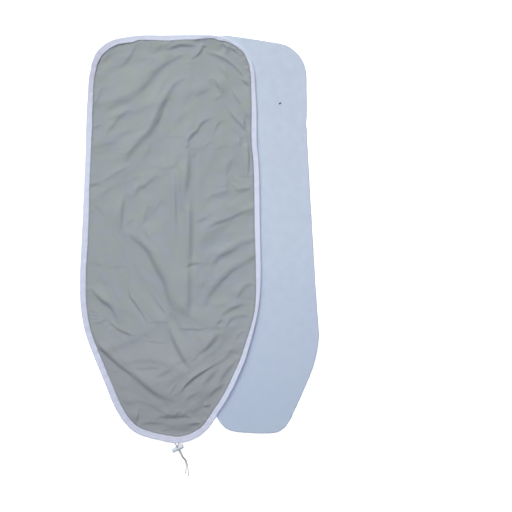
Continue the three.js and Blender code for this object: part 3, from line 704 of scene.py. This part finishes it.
def along_line(plan, line, margin, profile):
    """A height that depends on the distance from a drawn line, positive away from the light, and on a fade
    that rises from 0 at the line's ends to 1 in its middle by a sine. The pieces of the line are averaged
    by the inverse sixth power of distance, so that the nearest one rules."""
    path = smooth_path(line, CREASE_STEP)
    near = np.flatnonzero(((plan > path.min(0) - margin) & (plan < path.max(0) + margin)).all(1))
    chord = np.diff(path, axis=0)
    off = plan[near][:, None] - path[None, :-1]
    share = np.clip((off * chord).sum(-1) / (chord**2).sum(1), 0, 1)
    off -= share[..., None] * chord
    square = (off**2).sum(-1)
    down, facing = away_from_light(chord)
    side = np.where((off * down).sum(-1) < 0, -1, 1)
    fade = np.abs(np.sin(np.pi * (np.arange(len(chord)) + share) / len(chord)))
    weight = (square + CREASE_SOFT) ** -3.0
    height = np.zeros(len(plan))
    height[near] = (weight * profile(side * np.sqrt(square), fade, facing)).sum(1) / weight.sum(1)
    return height


def crease_height(plan, steepness, near, far, line):
    """A fold along a drawn line, narrower and weaker towards both ends, and steeper where it faces
    the light less."""
    def profile(distance, fade, facing):
        width = CREASE_END + (1 - CREASE_END) * fade
        steep = steepness / max(facing, CREASE_TURN)
        return np.sqrt(fade) * fold_profile(distance, near * width, far * width, steep)
    return along_line(plan, line, 3 * FOLD_FAR * max(near, far), profile)


def small_folds(plan, seed, count, half_widths, lengths, steepness):
    """Short folds strewn over the cloth, each on a shallow arc and faded along it by a bell curve. Headings
    come from the given ways, weighed by inverse square distance as double angles, with some scatter."""
    draw = np.random.default_rng(seed)
    spot = draw.uniform(plan.min(0), plan.max(0), (count, 2))
    way = np.array(FOLD_WAYS, float)
    weight = 1 / (((spot[:, None] - way[None, :, :2]) ** 2).sum(-1) + WAY_BLUR)
    double = 2 * np.radians(way[:, 2])
    heading = np.arctan2(weight @ np.sin(double), weight @ np.cos(double)) / 2
    heading += draw.normal(0, FOLD_SCATTER, count)
    along = np.stack([np.cos(heading), np.sin(heading)], 1)
    half, long, steep = (draw.uniform(*span, count) for span in (half_widths, lengths, steepness))
    bend = draw.normal(0, FOLD_BEND, count) / long
    height = np.zeros(len(plan))
    for k in range(count):
        off = plan - spot[k]
        down = away_from_light(along[k : k + 1])[0]
        near = np.flatnonzero(np.abs(off).max(1) < 2 * long[k] + 2 * FOLD_FAR * half[k])
        run = off[near] @ along[k]
        across = off[near] @ down[0] + bend[k] * run**2
        profile = fold_profile(across, half[k], FOLD_LEE * half[k], steep[k])
        height[near] += np.exp(-(run / long[k]) ** 2) * profile
    return height


def coated_cotton():
    """Plain-weave cotton with a grey reflecting coat: even and matt, with a slight sheen along the folds.
    The grey clouds from greenish to bluish. Painted shade makes it a little darker and violet towards the
    nose, and greyer in the seam's hollow.
    The threads are about 0.4 mm apart; they are drawn three times as coarse, to show at all."""
    made, tree = start_material("coated_cotton")
    place = add(tree, "TexCoord").outputs["Object"]
    mottle = add(tree, "TexNoise", {"Scale": 1000 / MOTTLE_MM, "Detail": 3}, {"Vector": place})
    patches = add(tree, "MapRange", {"From Min": 0.38, "From Max": 0.62}, {"Value": mottle.outputs["Fac"]})
    along = add(tree, "SeparateXYZ", None, {"Vector": place})
    cast = add(tree, "MapRange", {"From Min": NOSE_PAINTED_SHADE_SPAN[0], "From Max": NOSE_PAINTED_SHADE_SPAN[1]},
               {"Value": along.outputs["Y"]})
    seam = add(tree, "Attribute", attribute_name="seam_painted_shade")
    grey = blend(tree, patches.outputs[0], COAT_GREEN, COAT_BLUE)
    # Painted shade: darker and more violet towards the nose, then greyer in the seam's hollow.
    grey = blend(tree, cast.outputs[0], grey, COAT_NOSE_PAINTED_SHADE)
    grey = blend(tree, seam.outputs["Fac"], grey, SEAM_PAINTED_SHADE)
    warp, weft = (add(tree, "TexWave", {"Scale": 100 * np.pi / THREAD_MM, "Distortion": 0.6, "Detail": 1},
                      {"Vector": place}, bands_direction=way).outputs["Fac"] for way in "XY")
    weave = add(tree, "Math", None, {0: warp, 1: weft}, operation="MULTIPLY")
    threads = add(tree, "Bump", {"Strength": 0.25, "Distance": 0.0002}, {"Height": weave.outputs[0]})
    return finish_material(made, {"Roughness": 0.62, "Specular IOR Level": 0.25},
                           {"Base Color": grey, "Normal": threads.outputs[0]})


fair_edge = plan_outline("edge_binding", STATION_PITCH)
edge_step = np.linalg.norm(fair_edge[1] - fair_edge[0])
stations = len(fair_edge)
edge_run = edge_step * np.arange(stations)
edge_length = edge_step * stations


def round_edge(pairs, reach, at=edge_run):
    """Values given at a few distances round the cover's edge, eased, and read off at other distances."""
    return np.interp(at, edge_run, round_loop(fair_edge, pairs, reach), period=edge_length)


edge = fair_edge + round_edge(EDGE_WANDER, EDGE_WANDER_EASE)[:, None] * outward(fair_edge)
edge_normal = outward(edge)
edge_height = casing_height(edge) + round_edge(EDGE_LIFT, EDGE_LIFT_EASE)
tape_width = round_edge(BINDING_WIDTHS, BINDING_WIDTH_EASE)

cloth_rim = edge - CLOTH_INSET * edge_normal
cloth_plan = patch(cloth_rim, CLOTH_CORNERS, CLOTH_ACROSS, CLOTH_ALONG).reshape(-1, 2)
inset, run = beside_edge(cloth_plan, edge)
outside_felt = -depth_inside(cloth_plan, felt_outline)
taut = np.exp(-(((cloth_plan[:, 1] - TAUT_AT[0]) / TAUT_AT[1]) ** 2))
drape_run = DRAPE_RUN * (1 + DRAPE_SLACK * (1 - taut))
laid = CLOTH_REST + CLOTH_LIFT * (1 - smooth_step(outside_felt, 0, drape_run))
laid += taut * sum(rise * np.exp(-(((outside_felt - at) / half) ** 2)) for rise, at, half in FELT_EDGE_RIDGES)
laid += BUNCH_HEIGHT * np.exp(-(((cloth_plan - BUNCH_AT) / BUNCH_REACH) ** 2).sum(1))
held = 1 - smooth_step(inset, *EDGE_BLEND)
lifted = casing_height(cloth_plan) + round_edge(EDGE_LIFT, EDGE_LIFT_EASE, run)
height = laid + (lifted - laid) * held
folds = sum(crease_height(cloth_plan, *crease) for crease in CREASES)
small = sum(small_folds(cloth_plan, seed, *kind) for seed, kind in enumerate(FOLD_KINDS))
for x, y, reach in CALM_SPOTS:
    small *= 1 - np.exp(-((cloth_plan - (x, y)) ** 2).sum(1) / reach**2)
folds += small
height += folds * smooth_step(inset, *FOLD_FADE) + FOLD_ROOM * smooth_step(inset, *FOLD_ROOM_RUN)
draw = np.random.default_rng(PUCKER_SEED)
pucker = np.zeros_like(run)
for length in PUCKER_LENGTHS:
    phase = draw.uniform(0, 2 * np.pi)
    slant = draw.uniform(-PUCKER_SLANT, PUCKER_SLANT)
    group = np.cos(2 * np.pi * run / (length * PUCKER_GROUP) + draw.uniform(0, 2 * np.pi))
    wrinkle = np.cos(2 * np.pi * (run + slant * inset) / length + phase)
    pucker += (0.5 + 0.5 * group) * wrinkle * length / PUCKER_MEAN
pucker *= np.exp(-np.clip(inset - PUCKER_FULL, 0, None) / PUCKER_RUN) * smooth_step(inset, *PUCKER_RISE)
from_tape = inset - round_edge(BINDING_WIDTHS, BINDING_WIDTH_EASE, run)
hollow = np.exp(-((np.clip(from_tape - SEAM_DIP_FULL, 0, None) / SEAM_DIP_RUN) ** 2))
height += PUCKER_HEIGHT * pucker - SEAM_DIP * hollow * smooth_step(inset, *SEAM_DIP_RISE)
below = CLOTH_CLEAR + felt_top * (1 - smooth_step(outside_felt, 0, FELT_EDGE_ROUND))
height = below + REST_SOFT * np.logaddexp(0, (height - below) / REST_SOFT)
cloth = put_mesh("cover_cloth", np.column_stack([cloth_plan, height]),
                 grid_faces(CLOTH_ALONG, CLOTH_ACROSS).tolist(), coated_cotton())
# Painted shade in the seam's hollow: the cloth greyed just inside the tape, more or less round the edge.
seam_painted_shade = np.exp(-((np.clip(from_tape, 0, None) / SEAM_SPREAD) ** 2))
seam_painted_shade *= round_edge(SEAM_SHADES, SEAM_SHADE_EASE, run)
cloth.data.attributes.new("seam_painted_shade", "FLOAT", "POINT").data.foreach_set("value", seam_painted_shade)
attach(cloth, "cover")
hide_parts("cover_panel")

# Edge binding: white cotton tape folded over the cloth's edge round the drawcord and sewn through.
# The cord fills the outer fold, so the tape is round there and flattens towards the seam.
# Its ends meet at the nose, where a slit lets the cord out.
TAPE_THICK = 0.5
CASING_RADIUS = 2.6
LIP_HEIGHT = 0.95
LIP_CURVE = 1.5
LIP_STEPS = 9
ARC_STEPS = 12
TAPE_RIPPLES = (15, 24, 37)
TAPE_RIPPLE = 0.12
RIPPLE_MEAN = 14
CASING_RIPPLE = 0.25
TAPE_LIGHT = "#E3EBFF"
TAPE_DEEP = "#CED0E6"
TAPE_MOTTLE = 0.4
TAPE_THREAD_MM = 1.1
TAPE_MOTTLE_MM = 25
SLIT_SIZE = (21.0, 11.0, 3.6)
JOINT_DIP = 0.7
JOINT_HALF = 2.6

# How much light or shade is painted on the tape round the edge: distance round the edge, and share from the
# deeper to the lighter white.
TAPE_PAINTED_LIGHT_EASE = 30
TAPE_PAINTED_LIGHT = [
    (0, 0.38), (90, 0.45), (250, 0.62), (450, 0.46), (540, 0.5), (640, 0.7), (800, 0.76), (930, 0.5),
    (1090, 0.52), (1150, 0.2), (1210, 0.6), (1300, 0.85), (1430, 1), (1510, 1), (1580, 0.75), (1650, 0.4),
    (1715, 0), (1780, 0.05), (1850, 0.5), (2000, 0.85), (2200, 0.67), (2400, 0.6), (2485, 0.4), (2550, 0.6),
    (2700, 0.4), (2830, 0.28), (2945, 0.37),
]


def lip_rise(t, radius, lip):
    """Height of a lip above the casing's middle at a share t of the way from the casing to the lip's end:
    it falls from the casing's radius to the lip's height by a power of the share still to go."""
    return lip + (radius - lip) * (1 - t) ** LIP_CURVE


def binding_section(width):
    """Section of the folded tape as inset and height: along the top lip, round the cord, along the lower lip,
    and back inside at the tape's thickness."""
    t = np.linspace(1, 0, LIP_STEPS)[:-1]
    arc = np.linspace(np.pi / 2, 1.5 * np.pi, ARC_STEPS + 1)

    def skin(radius, lip):
        inset = CASING_RADIUS + t * (width[:, None] - CASING_RADIUS)
        rise = np.broadcast_to(lip_rise(t, radius, lip), inset.shape)
        fold = np.stack([CASING_RADIUS + radius * np.cos(arc), radius * np.sin(arc)], -1)
        upper, lower = np.stack([inset, rise], -1), np.stack([inset, -rise], -1)[:, ::-1]
        return np.concatenate([upper, np.broadcast_to(fold, (len(width), *fold.shape)), lower], 1)

    outer = skin(CASING_RADIUS, LIP_HEIGHT)
    inner = skin(CASING_RADIUS - TAPE_THICK, LIP_HEIGHT - TAPE_THICK)[:, ::-1]
    return np.concatenate([outer, inner], 1)


def bias_tape():
    """Woven cotton tape, bleached with a slight blue-violet cast: soft and matt, with a fine close weave.
    Light and shade are painted on it round the edge, and its white is mottled."""
    made, tree = start_material("cotton_bias_tape")
    place = add(tree, "TexCoord").outputs["Object"]
    mottle = add(tree, "TexNoise", {"Scale": 1000 / TAPE_MOTTLE_MM, "Detail": 4}, {"Vector": place})
    # Painted light and shade round the edge, carried by an attribute.
    tape_painted_light = add(tree, "Attribute", attribute_name="tape_painted_light")
    share = add(tree, "Math", {1: TAPE_MOTTLE}, {0: mottle.outputs["Fac"], 2: tape_painted_light.outputs["Fac"]},
                operation="MULTIPLY_ADD")
    threads = add(tree, "TexNoise", {"Scale": 1000 / TAPE_THREAD_MM, "Detail": 2}, {"Vector": place})
    weave = add(tree, "Bump", {"Strength": 0.3, "Distance": 0.0003}, {"Height": threads.outputs["Fac"]})
    return finish_material(made, {"Roughness": 0.85, "Specular IOR Level": 0.25},
                           {"Base Color": blend(tree, share.outputs[0], TAPE_DEEP, TAPE_LIGHT),
                            "Normal": weave.outputs[0]})


def cut_away(piece, points, faces):
    """Cuts a closed shape out of a piece and keeps the result as the piece's mesh."""
    tool = put_mesh("cutter", points, faces, piece.data.materials[0])
    cut = piece.modifiers.new("cut", "BOOLEAN")
    cut.object = tool
    cut.operation = "DIFFERENCE"
    cut.solver = "EXACT"
    whole = bpy.data.meshes.new_from_object(piece.evaluated_get(bpy.context.evaluated_depsgraph_get()))
    piece.modifiers.clear()
    piece.data = whole
    bpy.data.objects.remove(tool)


def slot_prism(middle, along, through, length, depth, height, steps=8):
    """A slot with round ends as a closed prism: a stadium in the plane of along and up, pushed through
    both ways."""
    turn = np.linspace(0, np.pi, steps)
    half = (length - height) / 2
    right = np.stack([half + height / 2 * np.sin(turn), -height / 2 * np.cos(turn)], 1)
    ring = np.vstack([right, -right])
    flat = np.asarray(middle) + ring[:, :1] * np.asarray(along) + ring[:, 1:] * np.array([0, 0, 1])
    push = depth / 2 * np.asarray(through)
    count = len(ring)
    sides = grid_faces(2, count, wrap_columns=True).tolist()
    ends = [list(range(count))[::-1], list(range(count, 2 * count))]
    return np.vstack([flat - push, flat + push]), sides + ends


section = binding_section(tape_width)
ripple = np.zeros(stations)
for length in TAPE_RIPPLES:
    cycles = round(edge_length / length)
    phase = draw.uniform(0, 2 * np.pi)
    ripple += np.cos(2 * np.pi * cycles * np.arange(stations) / stations + phase) * length / RIPPLE_MEAN
lip_share = np.clip((section[..., 0] - CASING_RADIUS) / (tape_width[:, None] - CASING_RADIUS), 0, 1)
section[..., 1] += TAPE_RIPPLE * ripple[:, None] * (CASING_RIPPLE + lip_share)
from_joint = np.minimum(edge_run, edge_length - edge_run)
section[..., 1] -= JOINT_DIP * np.exp(-((from_joint / JOINT_HALF) ** 2))[:, None] * lip_share
tape_points = np.concatenate([
    edge[:, None] - section[..., :1] * edge_normal[:, None],
    edge_height[:, None, None] + section[..., 1:]], -1)
binding = put_mesh("edge_binding_tape", tape_points,
                   grid_faces(stations, section.shape[1], True, True).tolist(), bias_tape())
exit_out = np.array([*edge_normal[0], 0])
exit_along = np.array([-exit_out[1], exit_out[0], 0])
exit_middle = np.array([*edge[0], edge_height[0]])
cut_away(binding, *slot_prism(exit_middle, exit_along, exit_out, *SLIT_SIZE))
tape_run = beside_edge(1000 * np.array([v.co[:2] for v in binding.data.vertices]), edge)[1]
# Painted light and shade on the tape, read off round the edge.
tape_painted_light = round_edge(TAPE_PAINTED_LIGHT, TAPE_PAINTED_LIGHT_EASE, tape_run) - TAPE_MOTTLE / 2
binding.data.attributes.new("tape_painted_light", "FLOAT", "POINT").data.foreach_set("value", tape_painted_light)
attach(binding, "cover")
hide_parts("edge_binding")

# Seam: one row of lockstitch in white polyester thread along the binding's inner edge.
# It goes through tape, cloth and tape, so it closes the casing and holds the binding on.
STITCH_PITCH = 3.4
STITCH_LENGTH = 2.7
STITCH_RADIUS = 0.24
STITCH_INSET = 2.3
STITCH_RISE = 0.06
STITCH_SWELL = 1.3
STITCH_RINGS = 5
STITCH_SIDES = 6
THREAD_WHITE = "#E4E8F2"


def sewing_thread():
    """Twisted polyester thread: smooth and white, with a soft shine."""
    made = start_material("polyester_thread")[0]
    return finish_material(made, {"Base Color": linear(THREAD_WHITE), "Roughness": 0.5})


stitch_count = round(edge_length / STITCH_PITCH)
stitch_run = edge_length * (np.arange(stitch_count) + 0.5) / stitch_count


def at_stitch(values):
    """Values at the edge's stations, read off at the stitches."""
    return np.interp(stitch_run, edge_run, values, period=edge_length)


stitch_out = np.stack([at_stitch(edge_normal[:, 0]), at_stitch(edge_normal[:, 1]), np.zeros(stitch_count)], 1)
stitch_way = np.stack([-stitch_out[:, 1], stitch_out[:, 0], np.zeros(stitch_count)], 1)
stitch_share = 1 - STITCH_INSET / (at_stitch(tape_width) - CASING_RADIUS)
stitch_top = (at_stitch(edge_height) + lip_rise(stitch_share, CASING_RADIUS, LIP_HEIGHT)
              + TAPE_RIPPLE * at_stitch(ripple) * (CASING_RIPPLE + stitch_share))
stitch_middle = np.stack([at_stitch(edge[:, 0]), at_stitch(edge[:, 1]), stitch_top + STITCH_RISE], 1)
stitch_middle -= (at_stitch(tape_width) - STITCH_INSET)[:, None] * stitch_out
swell = np.linspace(-STITCH_SWELL, STITCH_SWELL, STITCH_RINGS)
turn = np.linspace(0, 2 * np.pi, STITCH_SIDES, endpoint=False)
lengthwise = (STITCH_LENGTH / 2 * np.sin(swell))[None, :, None, None] * stitch_way[:, None, None]
girth = STITCH_RADIUS * np.sqrt(np.cos(swell))[None, :, None, None]
around = (np.cos(turn)[None, None, :, None] * stitch_out[:, None, None]
          + np.sin(turn)[None, None, :, None] * np.array([0, 0, 1]))
stitch_points = stitch_middle[:, None, None] + lengthwise + girth * around
one = grid_faces(STITCH_RINGS, STITCH_SIDES, wrap_columns=True)
each = (STITCH_RINGS * STITCH_SIDES * np.arange(stitch_count))[:, None, None]
cap = np.arange(STITCH_SIDES)
caps = np.stack([cap, STITCH_RINGS * STITCH_SIDES - 1 - cap])[:, ::-1]
stitch_faces = (each + one[None, :, ::-1]).reshape(-1, 4).tolist()
stitch_faces += (each + caps[None]).reshape(-1, STITCH_SIDES).tolist()
stitches = put_mesh("seam_stitches", stitch_points, stitch_faces, sewing_thread())
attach(stitches, "cover")

# Drawcord: one length of braided polyester cord, loose in the casing, with both ends out through the slit.
# The ends pass side by side through the lock and lie on the floor as two short tails with heat-sealed tips.
# The lock's own frame has X along its axis and D along its cross hole, away from the nose.
CORD_RADIUS = 1.35
CORD_STEP = 0.45
TAIL_SIDES = 24
CASING_CORD_STEP = 3
CASING_CORD_SIDES = 10
CASING_CORD_END = 7.35
CASING_CORD_GAP = 4
CASING_CORD_STRIDE = 6
BRAID_PAIRS = 4
BRAID_BUMP_MM = 1.9
BRAID_RELIEF = 0.09
TIP_MM = 3.5
TIP_TAPER = 0.25
CORD_GREY = "#BFC1C0"
# The darker grey is shade painted into the braid's gaps.
CORD_PAINTED_GAP_SHADE = "#ABADAC"
TIP_COLOUR = "#8E908F"
LOCK_AT = (-58.29, -602.06, 7.0)
LOCK_X = (0.8957, 0.44466, 0)
LOCK_D = (0.44466, -0.8957, 0)
CORD_GAP = 1.45
STRAIGHT_RUN = range(-7, 29, 7)

# How each tail lies beyond the straight run that the lock slides on: the side it takes in the lock,
# then places in the lock's frame and heights, in mm.
TAIL_LIES = {
    "long": (1, [(2.9, 36, 4.9), (3.7, 43, 2.7), (2.8, 50, 1.6), (0.7, 58, 1.6), (-2.2, 66, 1.6),
                 (-5.8, 75.3, 1.6), (-11.0, 86.4, 1.6)]),
    "short": (-1, [(0.0, 35.5, 3.7), (0.8, 42, 1.7), (-0.1, 48.5, 1.6), (-2.7, 55.5, 1.6), (-6.5, 63, 1.6),
                   (-10.8, 70, 1.6), (-15.3, 76.4, 1.6)]),
}


def tube(path, radius, sides, up=(0, 0, 1)):
    """Closed round tube along a path: rings square to it, levelled by the up direction, with flat ends."""
    along = np.gradient(path, axis=0)
    along /= np.linalg.norm(along, axis=1)[:, None]
    side = np.cross(along, up)
    side /= np.linalg.norm(side, axis=1)[:, None]
    over = np.cross(side, along)
    turn = np.linspace(0, 2 * np.pi, sides, endpoint=False)[None, :, None]
    spoke = np.cos(turn) * side[:, None] + np.sin(turn) * over[:, None]
    points = path[:, None] + np.asarray(radius)[..., None] * spoke
    faces = grid_faces(len(path), sides, wrap_columns=True)[:, ::-1].tolist()
    last = len(path) * sides
    return points, faces + [list(range(sides)), list(range(last - 1, last - sides - 1, -1))]


def braided_cord():
    """Round braid of grey polyester: strands cross as rows of small bumps, with shade painted darker in the
    gaps, and darker at a melted tip."""
    made, tree = start_material("braided_polyester_cord")
    labels = [add(tree, "Attribute", attribute_name=name) for name in ("strand", "sealed")]
    strand, sealed = (label.outputs["Fac"] for label in labels)
    # Painted shade in the braid's gaps, then the darker melted tip.
    colour = blend(tree, sealed, blend(tree, strand, CORD_PAINTED_GAP_SHADE, CORD_GREY), TIP_COLOUR)
    return finish_material(made, {"Roughness": 0.7, "Specular IOR Level": 0.3}, {"Base Color": colour})


def put_cord(name, path, sides, sealed):
    """A braided tube: its radius swells by the product of two cosines that wind opposite ways round it."""
    run = np.r_[0, np.cumsum(np.linalg.norm(np.diff(path, axis=0), axis=1))][:, None]
    turn = np.linspace(0, 2 * np.pi, sides, endpoint=False)[None]
    wind = np.pi * run / BRAID_BUMP_MM
    strand = np.cos(BRAID_PAIRS * turn + wind) * np.cos(BRAID_PAIRS * turn - wind)
    from_tip = np.clip((run - run[-1] + TIP_MM) / TIP_MM, 0, 1) * sealed
    relief = BRAID_RELIEF * strand * (1 - from_tip)
    radius = CORD_RADIUS - BRAID_RELIEF + relief - TIP_TAPER * from_tip**3
    made = put_mesh(name, *tube(path, radius, sides), cord_braid)
    tip = np.broadcast_to(from_tip, strand.shape)
    for label, value in (("strand", 0.5 + 0.5 * strand), ("sealed", tip)):
        layer = made.data.attributes.new(label, "FLOAT", "POINT")
        layer.data.foreach_set("value", value.astype(np.float32).ravel())
    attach(made, "cover")
    return made


cord_braid = braided_cord()
lock_frame = np.array([LOCK_X, LOCK_D])
for name, (side, lie) in TAIL_LIES.items():
    through = [(side * CORD_GAP, along, LOCK_AT[2]) for along in STRAIGHT_RUN]
    lie = np.array(through + lie, float)
    world = lie[:, :2] @ lock_frame + LOCK_AT
    world[:, 2] = lie[:, 2]
    path = smooth_path(world, CORD_STEP)
    tail = put_cord("drawcord_tail_" + name + "_braid", path, TAIL_SIDES, 1)
    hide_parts("drawcord_tail_" + name)

inner = np.column_stack([edge - CASING_RADIUS * edge_normal, edge_height])
ends = [side * CORD_GAP * np.array(LOCK_X) + LOCK_AT - CASING_CORD_END * np.array(LOCK_D) for side in (1, -1)]
held_cord = inner[CASING_CORD_GAP:-CASING_CORD_GAP:CASING_CORD_STRIDE]
round_path = smooth_path(np.vstack([ends[0], held_cord, inner[-CASING_CORD_GAP], ends[1]]), CASING_CORD_STEP)
casing_cord = put_cord("drawcord_in_casing_braid", round_path, CASING_CORD_SIDES, 0)
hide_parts("drawcord_in_casing")

# Cord lock: a moulded barrel open at one end, and a sprung plunger with a matching cross hole that slides
# in it. Pressing the plunger lines the holes up; released, the spring nips both cords between their edges.
BARREL_RADIUS = 7
BARREL_ENDS = (-8.05, 15.35)
BORE_RADIUS = 5.2
BORE_END = 13.55
HEAD_RADIUS = 6.4
HEAD_ENDS = (-18.55, -12.55)
STEM_RADIUS = 4.9
STEM_END = 5.05
HOLE_HEIGHT = 3.6
BARREL_HOLE = (-3.45, 3.45)
PLUNGER_HOLE = (-7.45, 3.45)
MOUTH_START = 0.6
MOUTH_REACH = 9
MOUTH_LEAN = 1.18
MOUTH_TRIM = 0.5
LATHE_SIDES = 72
ROUND_STEPS = 6
SHARP_ANGLE = 0.7
SPRING_ENDS = (5.70, 12.90)
SPRING_RADIUS = 3.65
SPRING_WIRE = 0.7
SPRING_TURNS = 4
SPRING_STEPS = 40
WIRE_SIDES = 12
PLASTIC_WHITE = "#D6DEE8"
STEEL_GREY = "#B4B6B8"


def rounded_profile(corners):
    """A profile of straight lines with each corner replaced by a quarter-round of its own radius."""
    out = []
    for k, (x, r, fillet) in enumerate(corners):
        here = np.array([x, r])
        if not fillet:
            out.append(here)
            continue
        back, on = (np.array(corners[j][:2]) - here for j in (k - 1, k + 1))
        start, end = (here + fillet * way / np.linalg.norm(way) for way in (back, on))
        middle = start + end - here
        for turn in np.linspace(0, np.pi / 2, ROUND_STEPS + 1):
            out.append(middle + np.cos(turn) * (start - middle) + np.sin(turn) * (end - middle))
    return np.array(out)


def lathe(corners):
    """A profile of axial place and radius, from axis to axis, turned round the lock's own axis."""
    profile = rounded_profile(corners)
    turn = np.linspace(0, 2 * np.pi, LATHE_SIDES, endpoint=False)[None, :, None]
    axis, level, up = np.array(LOCK_X), -np.array(LOCK_D), np.array([0, 0, 1])
    inner = profile[1:-1]
    rings = inner[:, None, :1] * axis + inner[:, None, 1:] * (np.cos(turn) * level + np.sin(turn) * up)
    poles = profile[[0, -1], :1] * axis
    points = np.vstack([rings.reshape(-1, 3), poles]) + LOCK_AT
    count = len(inner) * LATHE_SIDES
    step = np.arange(LATHE_SIDES)
    on = (step + 1) % LATHE_SIDES
    far = count - LATHE_SIDES
    first = np.stack([np.full_like(step, count), step, on], 1)
    last = np.stack([np.full_like(step, count + 1), far + on, far + step], 1)
    walls = grid_faces(len(inner), LATHE_SIDES, wrap_columns=True)
    return points, [face for part in (walls, first, last) for face in part[:, ::-1].tolist()]


def moulded_plastic():
    """Injection-moulded acetal, white with a cold cast: smooth, a little waxy, with a soft highlight."""
    made = start_material("moulded_acetal")[0]
    return finish_material(made, {"Base Color": linear(PLASTIC_WHITE), "Roughness": 0.32})


def spring_steel():
    """Drawn spring wire: bright steel."""
    made = start_material("spring_steel")[0]
    return finish_material(made, {"Base Color": linear(STEEL_GREY), "Metallic": 1.0, "Roughness": 0.3})


def cross_hole(ends):
    """The prism of a cross hole between two places on the lock's axis."""
    middle = np.array(LOCK_AT) + sum(ends) / 2 * np.array(LOCK_X)
    return slot_prism(middle, LOCK_X, LOCK_D, ends[1] - ends[0], 3 * BARREL_RADIUS, HOLE_HEIGHT)


def hole_mouth(ends):
    """The wedge that opens a cross hole upwards on the side where the cords come in, level at its floor."""
    lean = MOUTH_REACH * np.array([np.cos(MOUTH_LEAN), np.sin(MOUTH_LEAN)])
    ring = np.array([(MOUTH_START, 0), (MOUTH_REACH, 0), (MOUTH_REACH, MOUTH_REACH), lean])
    flat = np.array(LOCK_AT) - ring[:, :1] * np.array(LOCK_D) + ring[:, 1:] * np.array([0, 0, 1])
    sides = [flat + (end + trim) * np.array(LOCK_X) for end, trim in zip(ends, (MOUTH_TRIM, -MOUTH_TRIM))]
    walls = [(0, 1, 5, 4), (1, 2, 6, 5), (2, 3, 7, 6), (3, 0, 4, 7)]
    return np.vstack(sides), walls + [(3, 2, 1, 0), (4, 5, 6, 7)]


def put_moulding(name, corners, hole, node, body):
    """A turned moulding with its cross hole and the hole's mouth cut, and its corners kept crisp."""
    made = put_mesh(name, *lathe(corners), acetal)
    cut_away(made, *cross_hole(hole))
    cut_away(made, *hole_mouth(hole))
    made.data.set_sharp_from_angle(angle=SHARP_ANGLE)
    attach(made, body)
    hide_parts(node)


acetal = moulded_plastic()
put_moulding("cord_lock_barrel_moulding", [
    (BARREL_ENDS[1], 0, 0), (BARREL_ENDS[1], BARREL_RADIUS, 2), (BARREL_ENDS[0], BARREL_RADIUS, 0.6),
    (BARREL_ENDS[0], BORE_RADIUS, 0.3), (BORE_END, BORE_RADIUS, 0.3), (BORE_END, 0, 0)],
    BARREL_HOLE, "cord_lock_barrel", "cord_lock")
put_moulding("cord_lock_plunger_moulding", [
    (STEM_END, 0, 0), (STEM_END, STEM_RADIUS, 0.4), (HEAD_ENDS[1], STEM_RADIUS, 0.3),
    (HEAD_ENDS[1], HEAD_RADIUS, 0.5), (HEAD_ENDS[0], HEAD_RADIUS, 1.2), (HEAD_ENDS[0], 0, 0)],
    PLUNGER_HOLE, "cord_lock_plunger", "plunger")

wind = np.linspace(0, 2 * np.pi * SPRING_TURNS, SPRING_STEPS * SPRING_TURNS)[:, None]
pitch = np.linspace(SPRING_ENDS[0] + SPRING_WIRE / 2, SPRING_ENDS[1] - SPRING_WIRE / 2, len(wind))
spoke = np.cos(wind) * -np.array(LOCK_D) + np.sin(wind) * np.array([0, 0, 1])
coil = np.array(LOCK_AT) + pitch[:, None] * np.array(LOCK_X) + SPRING_RADIUS * spoke
wire = np.full((len(coil), WIRE_SIDES), SPRING_WIRE / 2)
spring = put_mesh("cord_lock_spring_wire", *tube(coil, wire, WIRE_SIDES, LOCK_X), spring_steel())
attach(spring, "cord_lock")
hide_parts("cord_lock_spring")
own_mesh(spring)
